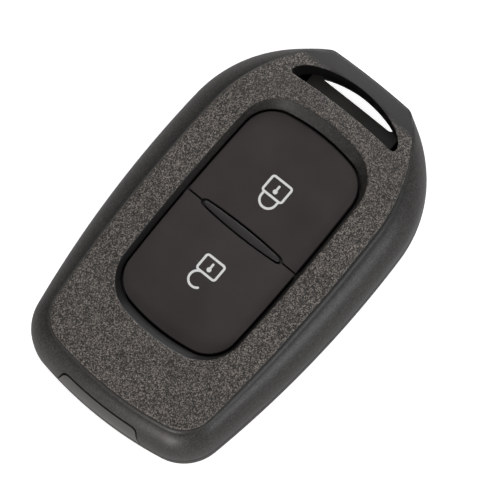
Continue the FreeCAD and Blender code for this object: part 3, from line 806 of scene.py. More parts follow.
@dataclass(frozen=True)
class SoftTouchPlastic:
    """Smooth matte plastic of the keys with fine speckle and a few specks of dust."""

    name: str
    base: Colour
    dark: Colour
    dust: Colour
    roughness: tuple[float, float] = (0.5, 0.6)

    def paint(self, s: Shader) -> None:
        """Fill the material.

        Args:
            s: Shader of the new material.
        """
        cloud, fine = s.noise(0.12, 3.0), s.noise(7.0)
        shade = s.blend(s.ramp(cloud, 0.35, 0.7, 0.0, 1.0), self.base, self.dark)
        shade = s.blend(s.ramp(fine, 0.66, 0.8, 0.0, 0.22), shade, self.dust)
        shade = s.blend(s.ramp(s.cells(0.32), 0.012, 0.03, 1.0, 0.0), shade, self.dust)
        s.dress(shade, Roughness=s.ramp(cloud, 0.3, 0.7, *self.roughness), Specular_IOR_Level=0.3)
        s.bump(fine, 0.006)


@dataclass(frozen=True)
class PlainPlastic:
    """Satin or matte plastic with fine mould texture and slight lighter blotches."""

    name: str
    base: Colour
    pale: Colour
    roughness: tuple[float, float] = (0.45, 0.6)
    texture_per_mm: float = 4.0

    def paint(self, s: Shader) -> None:
        """Fill the material.

        Args:
            s: Shader of the new material.
        """
        texture, cloud = s.noise(self.texture_per_mm, 3.0), s.noise(0.15)
        shade = s.blend(s.ramp(texture, 0.4, 0.75, 0.0, 0.35), self.base, self.pale)
        shade = s.blend(s.ramp(cloud, 0.35, 0.75, 0.0, 0.25), shade, self.pale)
        s.dress(shade, Roughness=s.ramp(cloud, 0.3, 0.7, *self.roughness))
        s.bump(texture, 0.01)


@dataclass(frozen=True)
class PrintedInk:
    """Pale pad-printed ink with tiny pinholes that show the plastic."""

    name: str
    base: Colour
    worn: Colour

    def paint(self, s: Shader) -> None:
        """Fill the material."""
        s.dress(s.blend(s.ramp(s.noise(9.0), 0.6, 0.78, 0.0, 0.35), self.base, self.worn), Roughness=0.55)
        s.bump(s.noise(5.0), 0.004)


@dataclass(frozen=True)
class SheetMetal:
    """Rolled or plated metal with fine drawn lines and handling marks."""

    name: str
    base: Colour
    dull: Colour
    stretch: Spot = (0.4, 9.0, 9.0)
    roughness: tuple[float, float] = (0.22, 0.42)

    def paint(self, s: Shader) -> None:
        """Fill the material.

        Args:
            s: Shader of the new material.
        """
        mapping = s.node("ShaderNodeMapping", {"Scale": self.stretch, "Vector": s.place})
        lines = s.node("ShaderNodeTexNoise", {"Scale": 1.2 / MM, "Vector": mapping})
        shade = s.blend(s.ramp(s.noise(0.5, 4.0), 0.45, 0.75, 0.0, 0.8), self.base, self.dull)
        s.dress(shade, Roughness=s.ramp(lines, 0.3, 0.7, *self.roughness), Metallic=1.0)
        s.bump(lines, 0.006)


@dataclass(frozen=True)
class SolderMask:
    """Green lacquer over copper tracks on glass laminate."""

    name: str
    mask: Colour
    track: Colour
    pitch: float = 1.27

    def paint(self, s: Shader) -> None:
        """Fill the material.

        Args:
            s: Shader of the new material.
        """
        tracks = s.node("ShaderNodeTexBrick", {
            "Scale": 1 / (MM * self.pitch * 4), "Mortar Size": 0.03, "Mortar Smooth": 0.2, "Row Height": 0.3,
            "Brick Width": 1.1, "Vector": s.place,
        }).outputs["Fac"]
        shade = s.blend(s.ramp(s.noise(2.0), 0.4, 0.7, 0.0, 0.3), self.mask, self.track)
        shade = s.blend(s.ramp(tracks, 0.2, 0.8, 0.0, 0.7), shade, self.track)
        s.dress(shade, Roughness=0.3, Coat_Weight=0.4, Coat_Roughness=0.15)
        s.bump(tracks, 0.03)


@dataclass(frozen=True)
class Ceramic:
    """Fired body of a chip part with a grainy face."""

    name: str
    base: Colour
    fleck: Colour

    def paint(self, s: Shader) -> None:
        """Fill the material.

        Args:
            s: Shader of the new material.
        """
        flecks = s.ramp(s.cells(7.0), 0.1, 0.45, 0.0, 1.0)
        s.dress(s.blend(flecks, self.base, self.fleck), Roughness=s.ramp(s.noise(3.0), 0.3, 0.7, 0.35, 0.6))
        s.bump(flecks, 0.01)


class Finish(Enum):
    """The fob's finishes."""

    # Plateau: by the nose slope a darker colour with less grain takes over, a smoother finish and painted shade.
    PLATEAU = GrainedPlastic(
        "grained_plateau", (60, 56, 52), (158, 149, 142), (18, 15, 13), grains_per_mm=6.0, smooth=(36, 34, 33),
    )
    # Bevel: its hollow colour is painted shade in the cove beside the plateau.
    BEVEL = GrainedPlastic(
        "satin_bevel", (50, 48, 46), (84, 82, 80), (32, 31, 30), grains_per_mm=5.6, contrast=0.7,
        grain_depth=0.014, roughness=(0.38, 0.5), hollow=(20, 19, 18),
    )
    BACK = GrainedPlastic(
        "satin_back", (56, 54, 52), (80, 78, 76), (40, 38, 37), grains_per_mm=4.0, contrast=0.6,
        grain_depth=0.018, roughness=(0.42, 0.56), specular=0.45,
    )
    # Key bank: darker than the plateau, and darker still with less grain towards the tail: painted shade of the
    # recess round the keys.
    BANK = GrainedPlastic(
        "key_bank_painted_shade", (38, 36, 34), (74, 72, 69), (20, 19, 18), grains_per_mm=6.0, contrast=0.8,
        grain_depth=0.03, smooth=(17, 15, 14), fade=(12.0, -8.0),
    )
    # Near-black painted shade on the cove's crease and the ring slot's wall; the same colour marks the dark joint
    # groove at the joint line.
    CREASE = PlainPlastic("crease_shade_and_joint", (20, 18, 17), (28, 26, 25), (0.6, 0.75))
    DARK = PlainPlastic("unlit_plastic", (18, 17, 16), (26, 25, 24), (0.6, 0.75))
    # Darker than the back: painted shade in the deep ring slot, on its collar, neck and ledge.
    SHAFT = PlainPlastic("slot_painted_shade", (38, 35, 32), (48, 45, 41), (0.5, 0.65))
    KEY = SoftTouchPlastic("key_face", (56, 50, 49), (51, 45, 44), (112, 108, 104))
    FRAME = PlainPlastic("key_frame_plastic", (31, 28, 27), (40, 37, 35), (0.5, 0.62))
    PLUG = GrainedPlastic(
        "plug_plastic", (56, 54, 52), (74, 72, 70), (42, 40, 38), contrast=0.4, grain_depth=0.01,
        roughness=(0.42, 0.52),
    )
    INK = PrintedInk("printed_sign", (236, 236, 235), (168, 166, 163))
    BOARD = SolderMask("solder_mask", (14, 74, 44), (34, 112, 66))
    CELL = SheetMetal("cell_can", (196, 196, 192), (150, 150, 148))
    CONTACT = SheetMetal("tinned_spring", (205, 202, 192), (160, 156, 146), (9.0, 0.4, 9.0))
    CRYSTAL = SheetMetal("nickel_can", (208, 208, 204), (170, 170, 166))
    SWITCH = PlainPlastic("switch_body", (34, 34, 35), (52, 52, 53), (0.4, 0.55))
    PLUNGER = PlainPlastic("plunger_plastic", (205, 200, 184), (222, 218, 206), (0.4, 0.5))
    RESIN = PlainPlastic("chip_resin", (30, 30, 31), (44, 44, 45), (0.5, 0.65), 6.0)
    FERRITE = Ceramic("ferrite_core", (46, 45, 46), (64, 62, 62))
    COPPER = SheetMetal("enamelled_wire", (176, 92, 44), (130, 62, 30), (9.0, 2.0, 2.0), (0.18, 0.3))
    TRACK = SheetMetal("gilt_track", (214, 178, 96), (176, 140, 70))
    CAPACITOR = Ceramic("capacitor_body", (164, 134, 100), (184, 156, 122))
    RESISTOR = Ceramic("resistor_body", (40, 40, 44), (60, 60, 66))
    SOLDER = SheetMetal("solder", (200, 200, 198), (150, 150, 150), (2.0, 2.0, 2.0), (0.2, 0.36))

    @property
    def material(self) -> Material:
        """Return the finish's material, made once."""
        if self.value.name not in bpy.data.materials:
            self.value.paint(Shader(self.value.name))
        return bpy.data.materials[self.value.name]


# --- Geometry Nodes ---

class NodeRecipe(NodeTree):
    """A Geometry Nodes tree with named inputs that ends in Realize Instances and Set Material."""

    def __init__(self, name: str, **inputs: float) -> None:
        """Make the tree's sockets.

        Args:
            name: Name of the tree.
            inputs: Name of each length that the tree is given and its default, in millimetres.
        """
        super().__init__(bpy.data.node_groups.new(name, "GeometryNodeTree"))
        self.tree.is_modifier = True
        face = self.tree.interface
        face.new_socket("Geometry", in_out="INPUT", socket_type="NodeSocketGeometry")
        self.sockets: dict[str, str] = {}
        for title, default in inputs.items():
            socket = face.new_socket(title, in_out="INPUT", socket_type="NodeSocketFloat")
            socket.default_value = default * MM
            self.sockets[title] = socket.identifier
        finish = face.new_socket("Finish", in_out="INPUT", socket_type="NodeSocketMaterial")
        self.sockets["Finish"] = finish.identifier
        face.new_socket("Geometry", in_out="OUTPUT", socket_type="NodeSocketGeometry")
        self.given = self.node("NodeGroupInput").outputs

    def maths(self, way: str, *values: object) -> Node:
        """Return a sum, product or other step on sockets or numbers."""
        return self.node("ShaderNodeMath", dict(enumerate(values)), operation=way)

    def vector(self, *values: object) -> Node:
        """Return a vector of sockets or numbers."""
        return self.node("ShaderNodeCombineXYZ", dict(enumerate(values)))

    def swept(self, path: Node) -> Node:
        """Return a path drawn out to a bar, as wide and thick as the tree's inputs say.

        Args:
            path: The curve to draw out.

        Returns:
            The node that makes the bar.
        """
        section = self.node("GeometryNodeCurvePrimitiveQuadrilateral", {
            "Width": self.given["Width"], "Height": self.given["Thickness"],
        })
        return self.node("GeometryNodeCurveToMesh", {"Curve": path, "Profile Curve": section, "Fill Caps": True})

    def scattered(self, shape: Node, rotation: object = (0.0, 0.0, 0.0)) -> Node:
        """Return a shape set on every base point.

        Args:
            shape: The shape's node.
            rotation: How each copy is turned.

        Returns:
            The copies.
        """
        return self.node("GeometryNodeInstanceOnPoints", {
            "Points": self.given["Geometry"], "Instance": shape, "Rotation": rotation,
        })

    def close(self, shape: Node) -> "NodeRecipe":
        """End the tree with Realize Instances and Set Material.

        Args:
            shape: The node that makes the shape.

        Returns:
            The recipe itself.
        """
        realize = self.node("GeometryNodeRealizeInstances", {"Geometry": shape})
        paint = self.node("GeometryNodeSetMaterial", {"Geometry": realize, "Material": self.given["Finish"]})
        self.node("NodeGroupOutput", {"Geometry": paint})
        return self

    def grown(self, base: Mesh, finish: Finish, **values: float) -> Mesh:
        """Run the tree on a base mesh.

        Args:
            base: Points and edges in metres, used up.
            finish: Finish of the result.
            values: Values of the named inputs, in millimetres.

        Returns:
            The resulting plain mesh.
        """
        obj = placed("recipe", base)
        modifier = obj.modifiers.new("recipe", "NODES")
        modifier.node_group = self.tree
        for title, value in values.items():
            modifier[self.sockets[title]] = value * MM
        modifier[self.sockets["Finish"]] = finish.material
        mesh = baked(obj)
        with edited(mesh) as bm:
            bmesh.ops.remove_doubles(bm, verts=bm.verts, dist=2e-6)
            bmesh.ops.recalc_face_normals(bm, faces=bm.faces)
        return mesh


def stroke_recipe() -> NodeRecipe:
    """Return the tree that turns a drawn line into a flat printed stroke.

    Returns:
        The tree, for points joined by edges.
    """
    r = NodeRecipe("printed_stroke", Width=0.4, Thickness=0.08)
    curve = r.node("GeometryNodeMeshToCurve", {"Mesh": r.given["Geometry"]})
    return r.close(r.swept(r.node("GeometryNodeSetCurveNormal", {"Curve": curve}, mode="Z_UP")))


def lead_recipe() -> NodeRecipe:
    """Return the tree that sets a bent lead, pointing away from the chip, on every base point.

    Returns:
        The tree, for points that carry a turn about Z.
    """
    r = NodeRecipe("gull_wing_lead", Width=0.3, Reach=0.9, Height=0.5, Thickness=0.12)
    half = r.maths("MULTIPLY", r.given["Thickness"], 0.5)
    bends = [
        r.vector(
            r.maths("MULTIPLY", r.given["Reach"], share), 0.0,
            r.maths("MULTIPLY_ADD", r.given["Height"], level, half),
        )
        for share, level in ((-0.3, 1.0), (0.3, 1.0), (0.55, 0.0), (1.0, 0.0))
    ]
    line = r.node("GeometryNodeCurvePrimitiveLine", {"Start": bends[0], "End": bends[3]})
    shape = r.node("GeometryNodeResampleCurve", {"Curve": line, "Count": 4}, mode="COUNT")
    number = r.node("GeometryNodeInputIndex")
    for i in (1, 2):
        same = r.node("FunctionNodeCompare", {2: number, 3: i}, data_type="INT", operation="EQUAL")
        shape = r.node("GeometryNodeSetPosition", {"Geometry": shape, "Selection": same, "Position": bends[i]})
    upright = r.node("GeometryNodeSetCurveNormal", {"Curve": shape, "Normal": (0.0, 1.0, 0.0)}, mode="FREE")
    turn = r.node("GeometryNodeInputNamedAttribute", {"Name": "turn"}, data_type="FLOAT")
    return r.close(r.scattered(r.swept(upright), r.vector(0.0, 0.0, turn)))


def coil_recipe() -> NodeRecipe:
    """Return the tree that winds rounded square turns of wire on a row of base points.

    Returns:
        The tree, for points in a row along X.
    """
    r = NodeRecipe("wire_turns", Side=2.2, Wire=0.3, Corner=0.4)
    side = r.given["Side"]
    loop = r.node("GeometryNodeCurvePrimitiveQuadrilateral", {"Width": side, "Height": side})
    soft = r.node("GeometryNodeFilletCurve", {"Count": 4, "Curve": loop, "Radius": r.given["Corner"]}, mode="POLY")
    thick = r.node("GeometryNodeCurvePrimitiveCircle", {
        "Resolution": 8, "Radius": r.maths("MULTIPLY", r.given["Wire"], 0.5),
    }, mode="RADIUS")
    wire = r.node("GeometryNodeCurveToMesh", {"Curve": soft, "Profile Curve": thick})
    return r.close(r.scattered(wire, r.vector(0.0, math.pi / 2, 0.0)))


def cap_recipe() -> NodeRecipe:
    """Return the tree that puts a thin metal cap on every base point.

    Returns:
        The tree, for loose points.
    """
    r = NodeRecipe("metal_end_cap", Length=0.3, Width=0.9, Height=0.7)
    size = r.vector(*(r.given[title] for title in ("Length", "Width", "Height")))
    return r.close(r.scattered(r.node("GeometryNodeMeshCube", {"Size": size})))


def line_mesh(name: str, lines: Sequence[tuple[Sequence[Spot], bool]]) -> Mesh:
    """Return drawn lines in metres.

    Args:
        name: Name of the mesh.
        lines: Each line's points and whether it closes.

    Returns:
        The mesh, of points and edges only.
    """
    spots: list[Spot] = []
    edges: list[tuple[int, int]] = []
    for line, closed in lines:
        first, last = len(spots), len(spots) + len(line) - 1
        spots += line
        edges += [(i, i + 1) for i in range(first, last)] + ([(last, first)] if closed else [])
    return new_mesh(name, spots, edges)


# --- Ring slot and blade opening ---

@dataclass
class RingSlot:
    """The crescent slot for a key ring, and the tools that cut it."""

    half: float = 11.6
    corner: float = 0.5
    bow: float = 0.55
    fullness: float = 1.9
    arc_steps: int = 72
    tip_steps: int = 3
    bow_steps: int = 60
    edge_round: float = 0.15
    edge_flare: float = math.radians(82.0)
    ledge_y: float = 32.8
    ledge_bow: float = 0.05
    ledge_half: float = 9.5
    ledge_round: float = 0.18
    ledge_growth: Point = (0.12, 0.15)
    rear_y: float = 30.4
    rear_growth: Point = (2.4, 1.4)
    rear_round: float = 0.3
    neck_z: float = 5.4
    pocket_y: Spot = (28.9, 30.6, 32.6)
    pocket_z: Point = (3.0, 9.0)

    def ring(self, straight: float, bow: float, grown: float = 0.0, lean: float = 0.0) -> list[Point]:
        """Return the crescent.

        Args:
            straight: Y of the nearly straight edge's ends.
            bow: Rise of that edge in its middle.
            grown: How far its arc is moved out at both sides.
            lean: How far its arc is moved out at its apex.

        Returns:
            As many points for every crescent.
        """
        base = PLAN.slot_straight_y + self.corner
        half, rise = self.half + grown, PLAN.slot_apex_y + lean - base
        low = straight + self.corner
        power = 2 / self.fullness
        first = math.asin(max(0.0, (low - base) / rise) ** (1 / power))
        points = []
        for i in range(self.arc_steps):
            turn = math.pi - first - (math.pi - 2 * first) * i / self.arc_steps
            reach = math.copysign(abs(math.cos(turn)) ** power, math.cos(turn))
            points.append((half * reach, base + rise * math.sin(turn) ** power))
        tip, foot = (-points[0][0], low), (-points[0][0] - self.corner, straight)
        radius = (foot[0] ** 2 + bow ** 2) / (2 * bow)
        far_foot, far_tip = (-foot[0], foot[1]), (-tip[0], tip[1])
        points += [mix(tip, foot, i / self.tip_steps) for i in range(self.tip_steps)]
        points += Circle(0.0, straight + bow - radius, radius).sweep(foot, far_foot, self.bow_steps)
        points += [mix(far_foot, far_tip, i / self.tip_steps) for i in range(self.tip_steps)]
        return self.rounded(points)

    @staticmethod
    def rounded(ring: list[Point], passes: int = 3) -> list[Point]:
        """Return the ring with its tips eased.

        Args:
            ring: Plan points.
            passes: How often they are eased.

        Returns:
            As many points.
        """
        for _ in range(passes):
            ring = [mix(p, mix(ring[i - 1], ring[(i + 1) % len(ring)], 0.5), 0.5) for i, p in enumerate(ring)]
        return ring

    def shaft(self) -> Mesh:
        """Return the tool for the front shell: the shaft with an edge that flares along the crown.

        Returns:
            The closed mesh.
        """
        mouth, edge = self.ring(PLAN.slot_straight_y, self.bow), self.edge_round
        levels = [(0.0, 4.0), (0.0, 2.2)]
        levels += [(edge * out, edge * down) for out, down in quarter(5, self.edge_flare)]
        levels.append((edge * 1.05, -0.5))
        rings = [lift(mouth, PLAN.parting_z - PLAN.past)]
        for out, down in levels:
            rings.append([(x, y, PLAN.crown(x, y) - down) for x, y in offset(mouth, out)])
        rings.append([(x, y, PLAN.crown_z + PLAN.past) for x, y, _ in rings[-1]])
        return solid("slot_shaft", rings, [3, 3, 3, 1])

    def neck(self) -> Mesh:
        """Return the tool for the rear shell: the neck past the ledge, flared to the back.

        Returns:
            The closed mesh.
        """
        upper = self.ring(self.ledge_y, self.ledge_bow, *self.ledge_growth)
        rear = self.ring(self.rear_y, self.bow, *self.rear_growth)
        rings = [lift(offset(rear, self.rear_round * 1.4), -PLAN.past)]
        for up, out in quarter(5):
            z = self.rear_round * up
            share = (z + PLAN.past) / (self.neck_z + PLAN.past)
            ring = [mix(a, b, share) for a, b in zip(rear, upper)]
            rings.append(lift(offset(ring, self.rear_round * out), z))
        rings.append(lift(upper, self.neck_z))
        for out, down in quarter(4):
            rings.append(lift(offset(upper, self.ledge_round * out), PLAN.ledge_z - self.ledge_round * down))
        rings.append(lift(offset(upper, self.ledge_round), PLAN.ledge_z + 1.5))
        return solid("slot_neck", rings, [2])

    def collar(self, gap: float) -> Mesh:
        """Return the raised collar round the slot, grown by a gap.

        Args:
            gap: Growth on every side.

        Returns:
            The closed mesh, from below the joint line up.
        """
        ring = self.ring(PLAN.slot_straight_y - PLAN.collar_border - gap, self.bow, gap)
        ring = offset(ring, gap / 2) if gap else ring
        return prism("collar", ring, PLAN.parting_z - PLAN.past, PLAN.ledge_z + gap, 2)

    def pockets(self) -> list[Mesh]:
        """Return the tools for the deeper ends beside the ledge.

        Returns:
            Two closed meshes.
        """
        near, far = self.ledge_half, self.half + 0.1
        front, side_y, back = self.pocket_y
        plan = [(near, front), (far, front), (far, side_y), (near, back)]
        return [prism("pocket", [(side * x, y) for x, y in plan], *self.pocket_z, 1) for side in (1, -1)]


@dataclass
class BladeOpening:
    """The trapezoid in the tail, and the plug that closes it."""

    foot_half: float = 9.4
    top_half: float = 8.15
    top_z: float = 11.2
    corner: float = 1.1
    corner_steps: int = 5
    gap: float = 0.2
    top_gap: float = 0.4
    depth: float = 2.4

    def tool(self, gap: float, low: float) -> Mesh:
        """Return the trapezoid drawn in by a gap, pulled through the tail wall from a lowest height.

        Args:
            gap: How much smaller it is than the opening.
            low: Its lowest height.

        Returns:
            The closed mesh.
        """
        top_z, top, foot = self.top_z - (self.top_gap if gap else 0.0), self.top_half - gap, self.foot_half - gap
        slope = (foot - top) / (top_z - PLAN.parting_z)
        wide = foot + slope * (PLAN.parting_z - low)
        profile: list[Point] = [(-wide, low), (wide, low)]
        for side in (1, -1):
            near = (side * (top + slope * self.corner), top_z - self.corner)
            far, knee = (side * (top - self.corner), top_z), (side * top, top_z)
            curve = [bent(near, knee, far, i / self.corner_steps) for i in range(self.corner_steps + 1)]
            profile += curve if side > 0 else curve[::-1]
        ends = (-60.0, self.inner_y(gap))
        return solid("blade_opening", [[(x, y, z) for x, z in profile] for y in ends], [2])

    def inner_y(self, gap: float) -> float:
        """Return where the opening, or the plug a gap short of it, ends inside the fob."""
        return self.depth - gap - PLAN.end


# --- Shells ---

@dataclass
class FrontShell:
    """The front half: bevel, cove, grained plateau, bank round the keys, ring slot and blade opening."""

    slot: RingSlot
    opening: BladeOpening
    groove: float = 0.26
    upright: float = 0.2
    roll_share: float = 0.8
    sweep: float = math.radians(62.0)
    roll_steps: int = 18
    cove: tuple[Point, ...] = (
        (0.85, 0.035), (0.895, 0.085), (0.935, 0.15), (0.965, 0.235), (0.985, 0.34), (0.996, 0.45), (1.0, 0.56),
    )
    # Past this share the cove takes the near-black painted crease shade.
    crease_share: float = 0.96
    edge_round: float = 0.5
    edge_steps: int = 6
    blend: float = 0.3
    nose_blend: float = 0.9
    cavity_wall_z: float = 8.6
    cavity_lean: float = 2.8
    bank_reach: float = 3.0
    bank_runs: Spot = (0.38, 1.18, 0.92)
    bank_round: float = 0.45
    bank_steps: int = 5
    shaft_gap: float = 0.04
    plateau_steps: int = 16

    def profile(self) -> list[tuple[float, float, int]]:
        """Return the bevel and cove as (share of the way to the plateau, height, zone).

        Returns:
            The stations from the joint line up.
        """
        rise = PLAN.shelf_z - PLAN.parting_z
        upright = PLAN.parting_z + self.upright * rise
        width = self.roll_share / (1 - math.cos(self.sweep))
        height = (PLAN.shelf_z - upright) / math.sin(self.sweep)
        path = [(0.0, PLAN.parting_z + self.groove, 0), (0.0, PLAN.parting_z + self.upright / 2 * rise, 0)]
        for out, down in quarter(self.roll_steps + 1, self.sweep):
            path.append((width * out, upright + height * (1 - down), 0))
        step = PLAN.crown_z - PLAN.shelf_z
        for share, part in self.cove:
            path.append((share, PLAN.shelf_z + part * step, 5 if share > self.crease_share else 0))
        return path

    def rounds(self) -> list[float]:
        """Return the radius of the plateau's edge at each point: none where the plateau meets the shelf.

        Returns:
            As many radii as an outline has points.
        """
        radii = []
        for a, b in zip(PLAN.body.ring(), PLAN.plateau.ring()):
            at_nose = max(0.0, 1.0 - math.dist(a, b) / self.nose_blend)
            wall = max(0.0, PLAN.crown(*b) - (PLAN.shelf_z + self.blend))
            radii.append(max(self.edge_round * at_nose, min(self.edge_round, wall * 0.6)))
        return radii

    def outer_rings(self) -> tuple[list[list[Spot]], list[int]]:
        """Return the rings from the joint line up over the plateau's rounded edge, and their zones.

        Returns:
            The rings and the zone of each band.
        """
        body, plateau, rounds = PLAN.body, PLAN.plateau, self.rounds()
        rings, zones = [lift(body.ring(self.groove), PLAN.parting_z)], [5]
        for share, z, zone in self.profile():
            plan = zip(body.blended(plateau, share).ring(), rounds)
            rings.append([(x, y, soft_min(z, PLAN.crown(x, y) - r, self.blend)) for (x, y), r in plan])
            zones.append(zone)
        top, inner = plateau.ring(), plateau.ring(self.edge_round)
        for out, down in quarter(self.edge_steps + 1):
            plan = zip([mix(a, b, out) for a, b in zip(top, inner)], rounds)
            rings.append([(x, y, PLAN.crown(x, y) - r * down) for (x, y), r in plan])
            zones.append(1)
        return rings, zones

    def bank_point(self, low: Point, high: Point, z: float) -> Spot:
        """Return the bank's point at a height, above its foot and towards its plan point at full reach."""
        return *mix(low, high, (z - PLAN.recess_z) / self.bank_reach), z

    def bank(self, low: Point, high: Point) -> tuple[Spot, Spot, Spot]:
        """Return where the bank's upper round starts on the plateau, where its edge would be, and its end.

        Args:
            low: Plan point of the bank's foot.
            high: Plan point that it reaches at the bank's full reach.

        Returns:
            The three points, outermost first.
        """
        reach = self.bank_reach
        z = PLAN.crown(*high)
        for _ in range(6):
            z = PLAN.crown(*self.bank_point(low, high, z)[:2])
        edge = self.bank_point(low, high, z)
        dx, dy = high[0] - low[0], high[1] - low[1]
        direction = Vector((dx, dy)).normalized()
        x, y = edge[0] + direction.x * self.bank_round, edge[1] + direction.y * self.bank_round
        slope = Vector((dx / reach, dy / reach, 1.0)).normalized()
        return (x, y, PLAN.crown(x, y)), edge, tuple(Vector(edge) - slope * self.bank_round)

    def inner_rings(self, last: Sequence[Spot]) -> tuple[list[list[Spot]], list[int]]:
        """Return the rings over the plateau, down the bank and back through the hollow.

        Args:
            last: The ring that the plateau starts from.

        Returns:
            The rings and the zone of each band.
        """
        gap = PLAN.key_gap
        foot = PAD.ring(gap)
        far = PAD.ring(*(gap + run * self.bank_reach for run in self.bank_runs))
        out, edge, into = zip(*(self.bank(low, high) for low, high in zip(foot, far)))
        rings, zones = [], []
        for i in range(1, self.plateau_steps + 1):
            share = 0.5 - 0.5 * math.cos(math.pi * i / self.plateau_steps)
            plan = [mix(a, b, share)[:2] for a, b in zip(last, out)]
            rings.append([(x, y, PLAN.crown(x, y)) for x, y in plan])
            zones.append(1)
        for i in range(1, self.bank_steps + 1):
            share = i / self.bank_steps
            rings.append([bent(a, e, b, share) for a, e, b in zip(out, edge, into)])
            zones.append(1 if share < 0.5 else 4)
        for share in (0.5, 1.0):
            rings.append([mix(a, (*low, PLAN.recess_z + 0.1), share) for a, low in zip(into, foot)])
            zones.append(4)
        tight, wall_y = PAD.ring(gap - self.shaft_gap), PLAN.nose_wall_y - PLAN.fit
        rings += [lift(tight, PLAN.recess_z - 0.02), lift(tight, PLAN.roof_z)]
        for lean, z in ((self.cavity_lean, PLAN.roof_z), (0.0, self.cavity_wall_z), (0.0, PLAN.parting_z)):
            rings.append([(x, min(y, wall_y), z) for x, y in PLAN.body.ring(PLAN.wall + lean)])
        return rings, zones + [2] * 5

    def build(self) -> Piece:
        """Build and dress the front shell.

        Returns:
            The piece, riding on the fob.
        """
        rings, zones = self.outer_rings()
        more, inner_zones = self.inner_rings(rings[-1])
        mesh = carved(
            solid("front_shell", rings + more, zones + inner_zones, closed=True),
            (Cut.AWAY, self.slot.shaft()), (Cut.AWAY, self.slot.collar(PLAN.fit)),
            (Cut.AWAY, self.opening.tool(0.0, PLAN.parting_z - PLAN.past)),
        )
        # Zones 3 and 5 get the near-black colour: painted shade on the ring slot's wall and the cove's crease, and
        # the dark joint groove.
        looks = (Finish.BEVEL, Finish.PLATEAU, Finish.DARK, Finish.CREASE, Finish.BANK, Finish.CREASE)
        return Fitting("front_shell_skin", "fob", "shell_plastic", ("front_shell",)).finish(mesh, looks)


@dataclass
class RearShell:
    """The back half: rounded tray, locating lip, slot collar, cell cradle and posts."""

    slot: RingSlot
    floor: float = 1.6
    lip: float = 1.0
    lip_height: float = 1.4
    roll: float = 4.6
    rise: float = 4.9
    seam: float = 0.03
    groove: Point = (0.22, 0.16)
    edge_steps: int = 14
    end_wall: float = 1.2
    plug_half: float = 9.5
    plug_room: float = 6.0
    posts: tuple[tuple[float, float, bool], ...] = (
        (15.4, 17.6, True), (-15.4, 17.6, False), (13.64, -22.8, False), (-13.64, -22.8, True),
    )
    post_half: float = 1.6
    post_z: Point = (0.8, 6.0)
    peg_radius: float = 0.75
    peg_z: Point = (5.7, 7.3)
    cell_y: float = -9.0
    cradle_radii: Point = (10.35, 11.35)
    cradle_z: Point = (1.3, 4.1)
    cradle_turns: range = range(32, 149, 4)

    def rings(self) -> list[list[Spot]]:
        """Return the rings from the middle of the back out, up and over the lip to the tray's floor.

        Returns:
            Rings of as many points each.
        """
        body, parting = PLAN.body, PLAN.parting_z
        rings = [
            lift(body.ring(self.seam + self.roll * into), self.rise * down)
            for into, down in reversed(quarter(self.edge_steps + 1))
        ]
        depth, height = self.groove
        rings.append(lift(body.ring(self.seam), parting - height))
        rings.append(lift(body.ring(self.seam + depth), parting - 0.02))
        lip, lip_z = PLAN.wall + PLAN.fit, parting + self.lip_height
        outer_y, inner_y = PLAN.nose_wall_y - PLAN.fit, PLAN.nose_wall_y - self.end_wall
        for inset, z, limit in (
            (lip, parting, outer_y), (lip, lip_z - 0.2, outer_y), (lip + 0.15, lip_z, outer_y - 0.1),
            (lip + self.lip, lip_z, inner_y), (lip + self.lip, self.floor, inner_y),
        ):
            rings.append([(x, min(y, limit), z) for x, y in body.ring(inset)])
        return rings

    def fittings(self) -> list[Mesh]:
        """Return the posts under the board and the cradle round the cell, rooted in the floor.

        Returns:
            A closed mesh for each post, peg and wall.
        """
        shapes, half = [], self.post_half
        for x, y, peg in self.posts:
            low, high = self.post_z
            shapes.append(block("post", (x - half, y - half, low), (x + half, y + half, high), 1))
            if peg:
                shapes.append(prism("peg", disc((x, y), self.peg_radius), *self.peg_z, 1))
        inner, outer = self.cradle_radii
        for side in (1, -1):
            turns = [side * turn for turn in self.cradle_turns]
            wall = [around((0.0, self.cell_y), outer, turn) for turn in turns]
            wall += [around((0.0, self.cell_y), inner, turn) for turn in reversed(turns)]
            shapes.append(prism("cradle", wall, *self.cradle_z, 1))
        return shapes

    def build(self) -> Piece:
        """Build and dress the rear shell.

        Returns:
            The piece, riding on the fob.
        """
        room = block(
            "plug_room", (-self.plug_half, -2 * FAR, PLAN.parting_z),
            (self.plug_half, self.plug_room - PLAN.end, FAR), 1,
        )
        mesh = carved(
            solid("rear_shell", self.rings(), [0] * (self.edge_steps + 1) + [1]),
            (Cut.JOIN, self.slot.collar(0.0)), (Cut.AWAY, self.slot.neck()),
            *((Cut.AWAY, pocket) for pocket in self.slot.pockets()), (Cut.AWAY, room),
        )
        # Zone 2, the slot's collar, neck and ledge, takes the darker colour of painted slot shade.
        return Fitting("rear_shell_skin", "fob", "shell_plastic", ("rear_shell",)).finish(
            joined("rear_shell", [mesh, *self.fittings()]), (Finish.BACK, Finish.DARK, Finish.SHAFT),
        )


# --- Keys, their frame and their signs ---

class Side(Enum):
    """The two keys, by the end that they lie towards."""

    LOCK = 1
    UNLOCK = -1

    @property
    def word(self) -> str:
        """Return the side's name."""
        return self.name.lower()


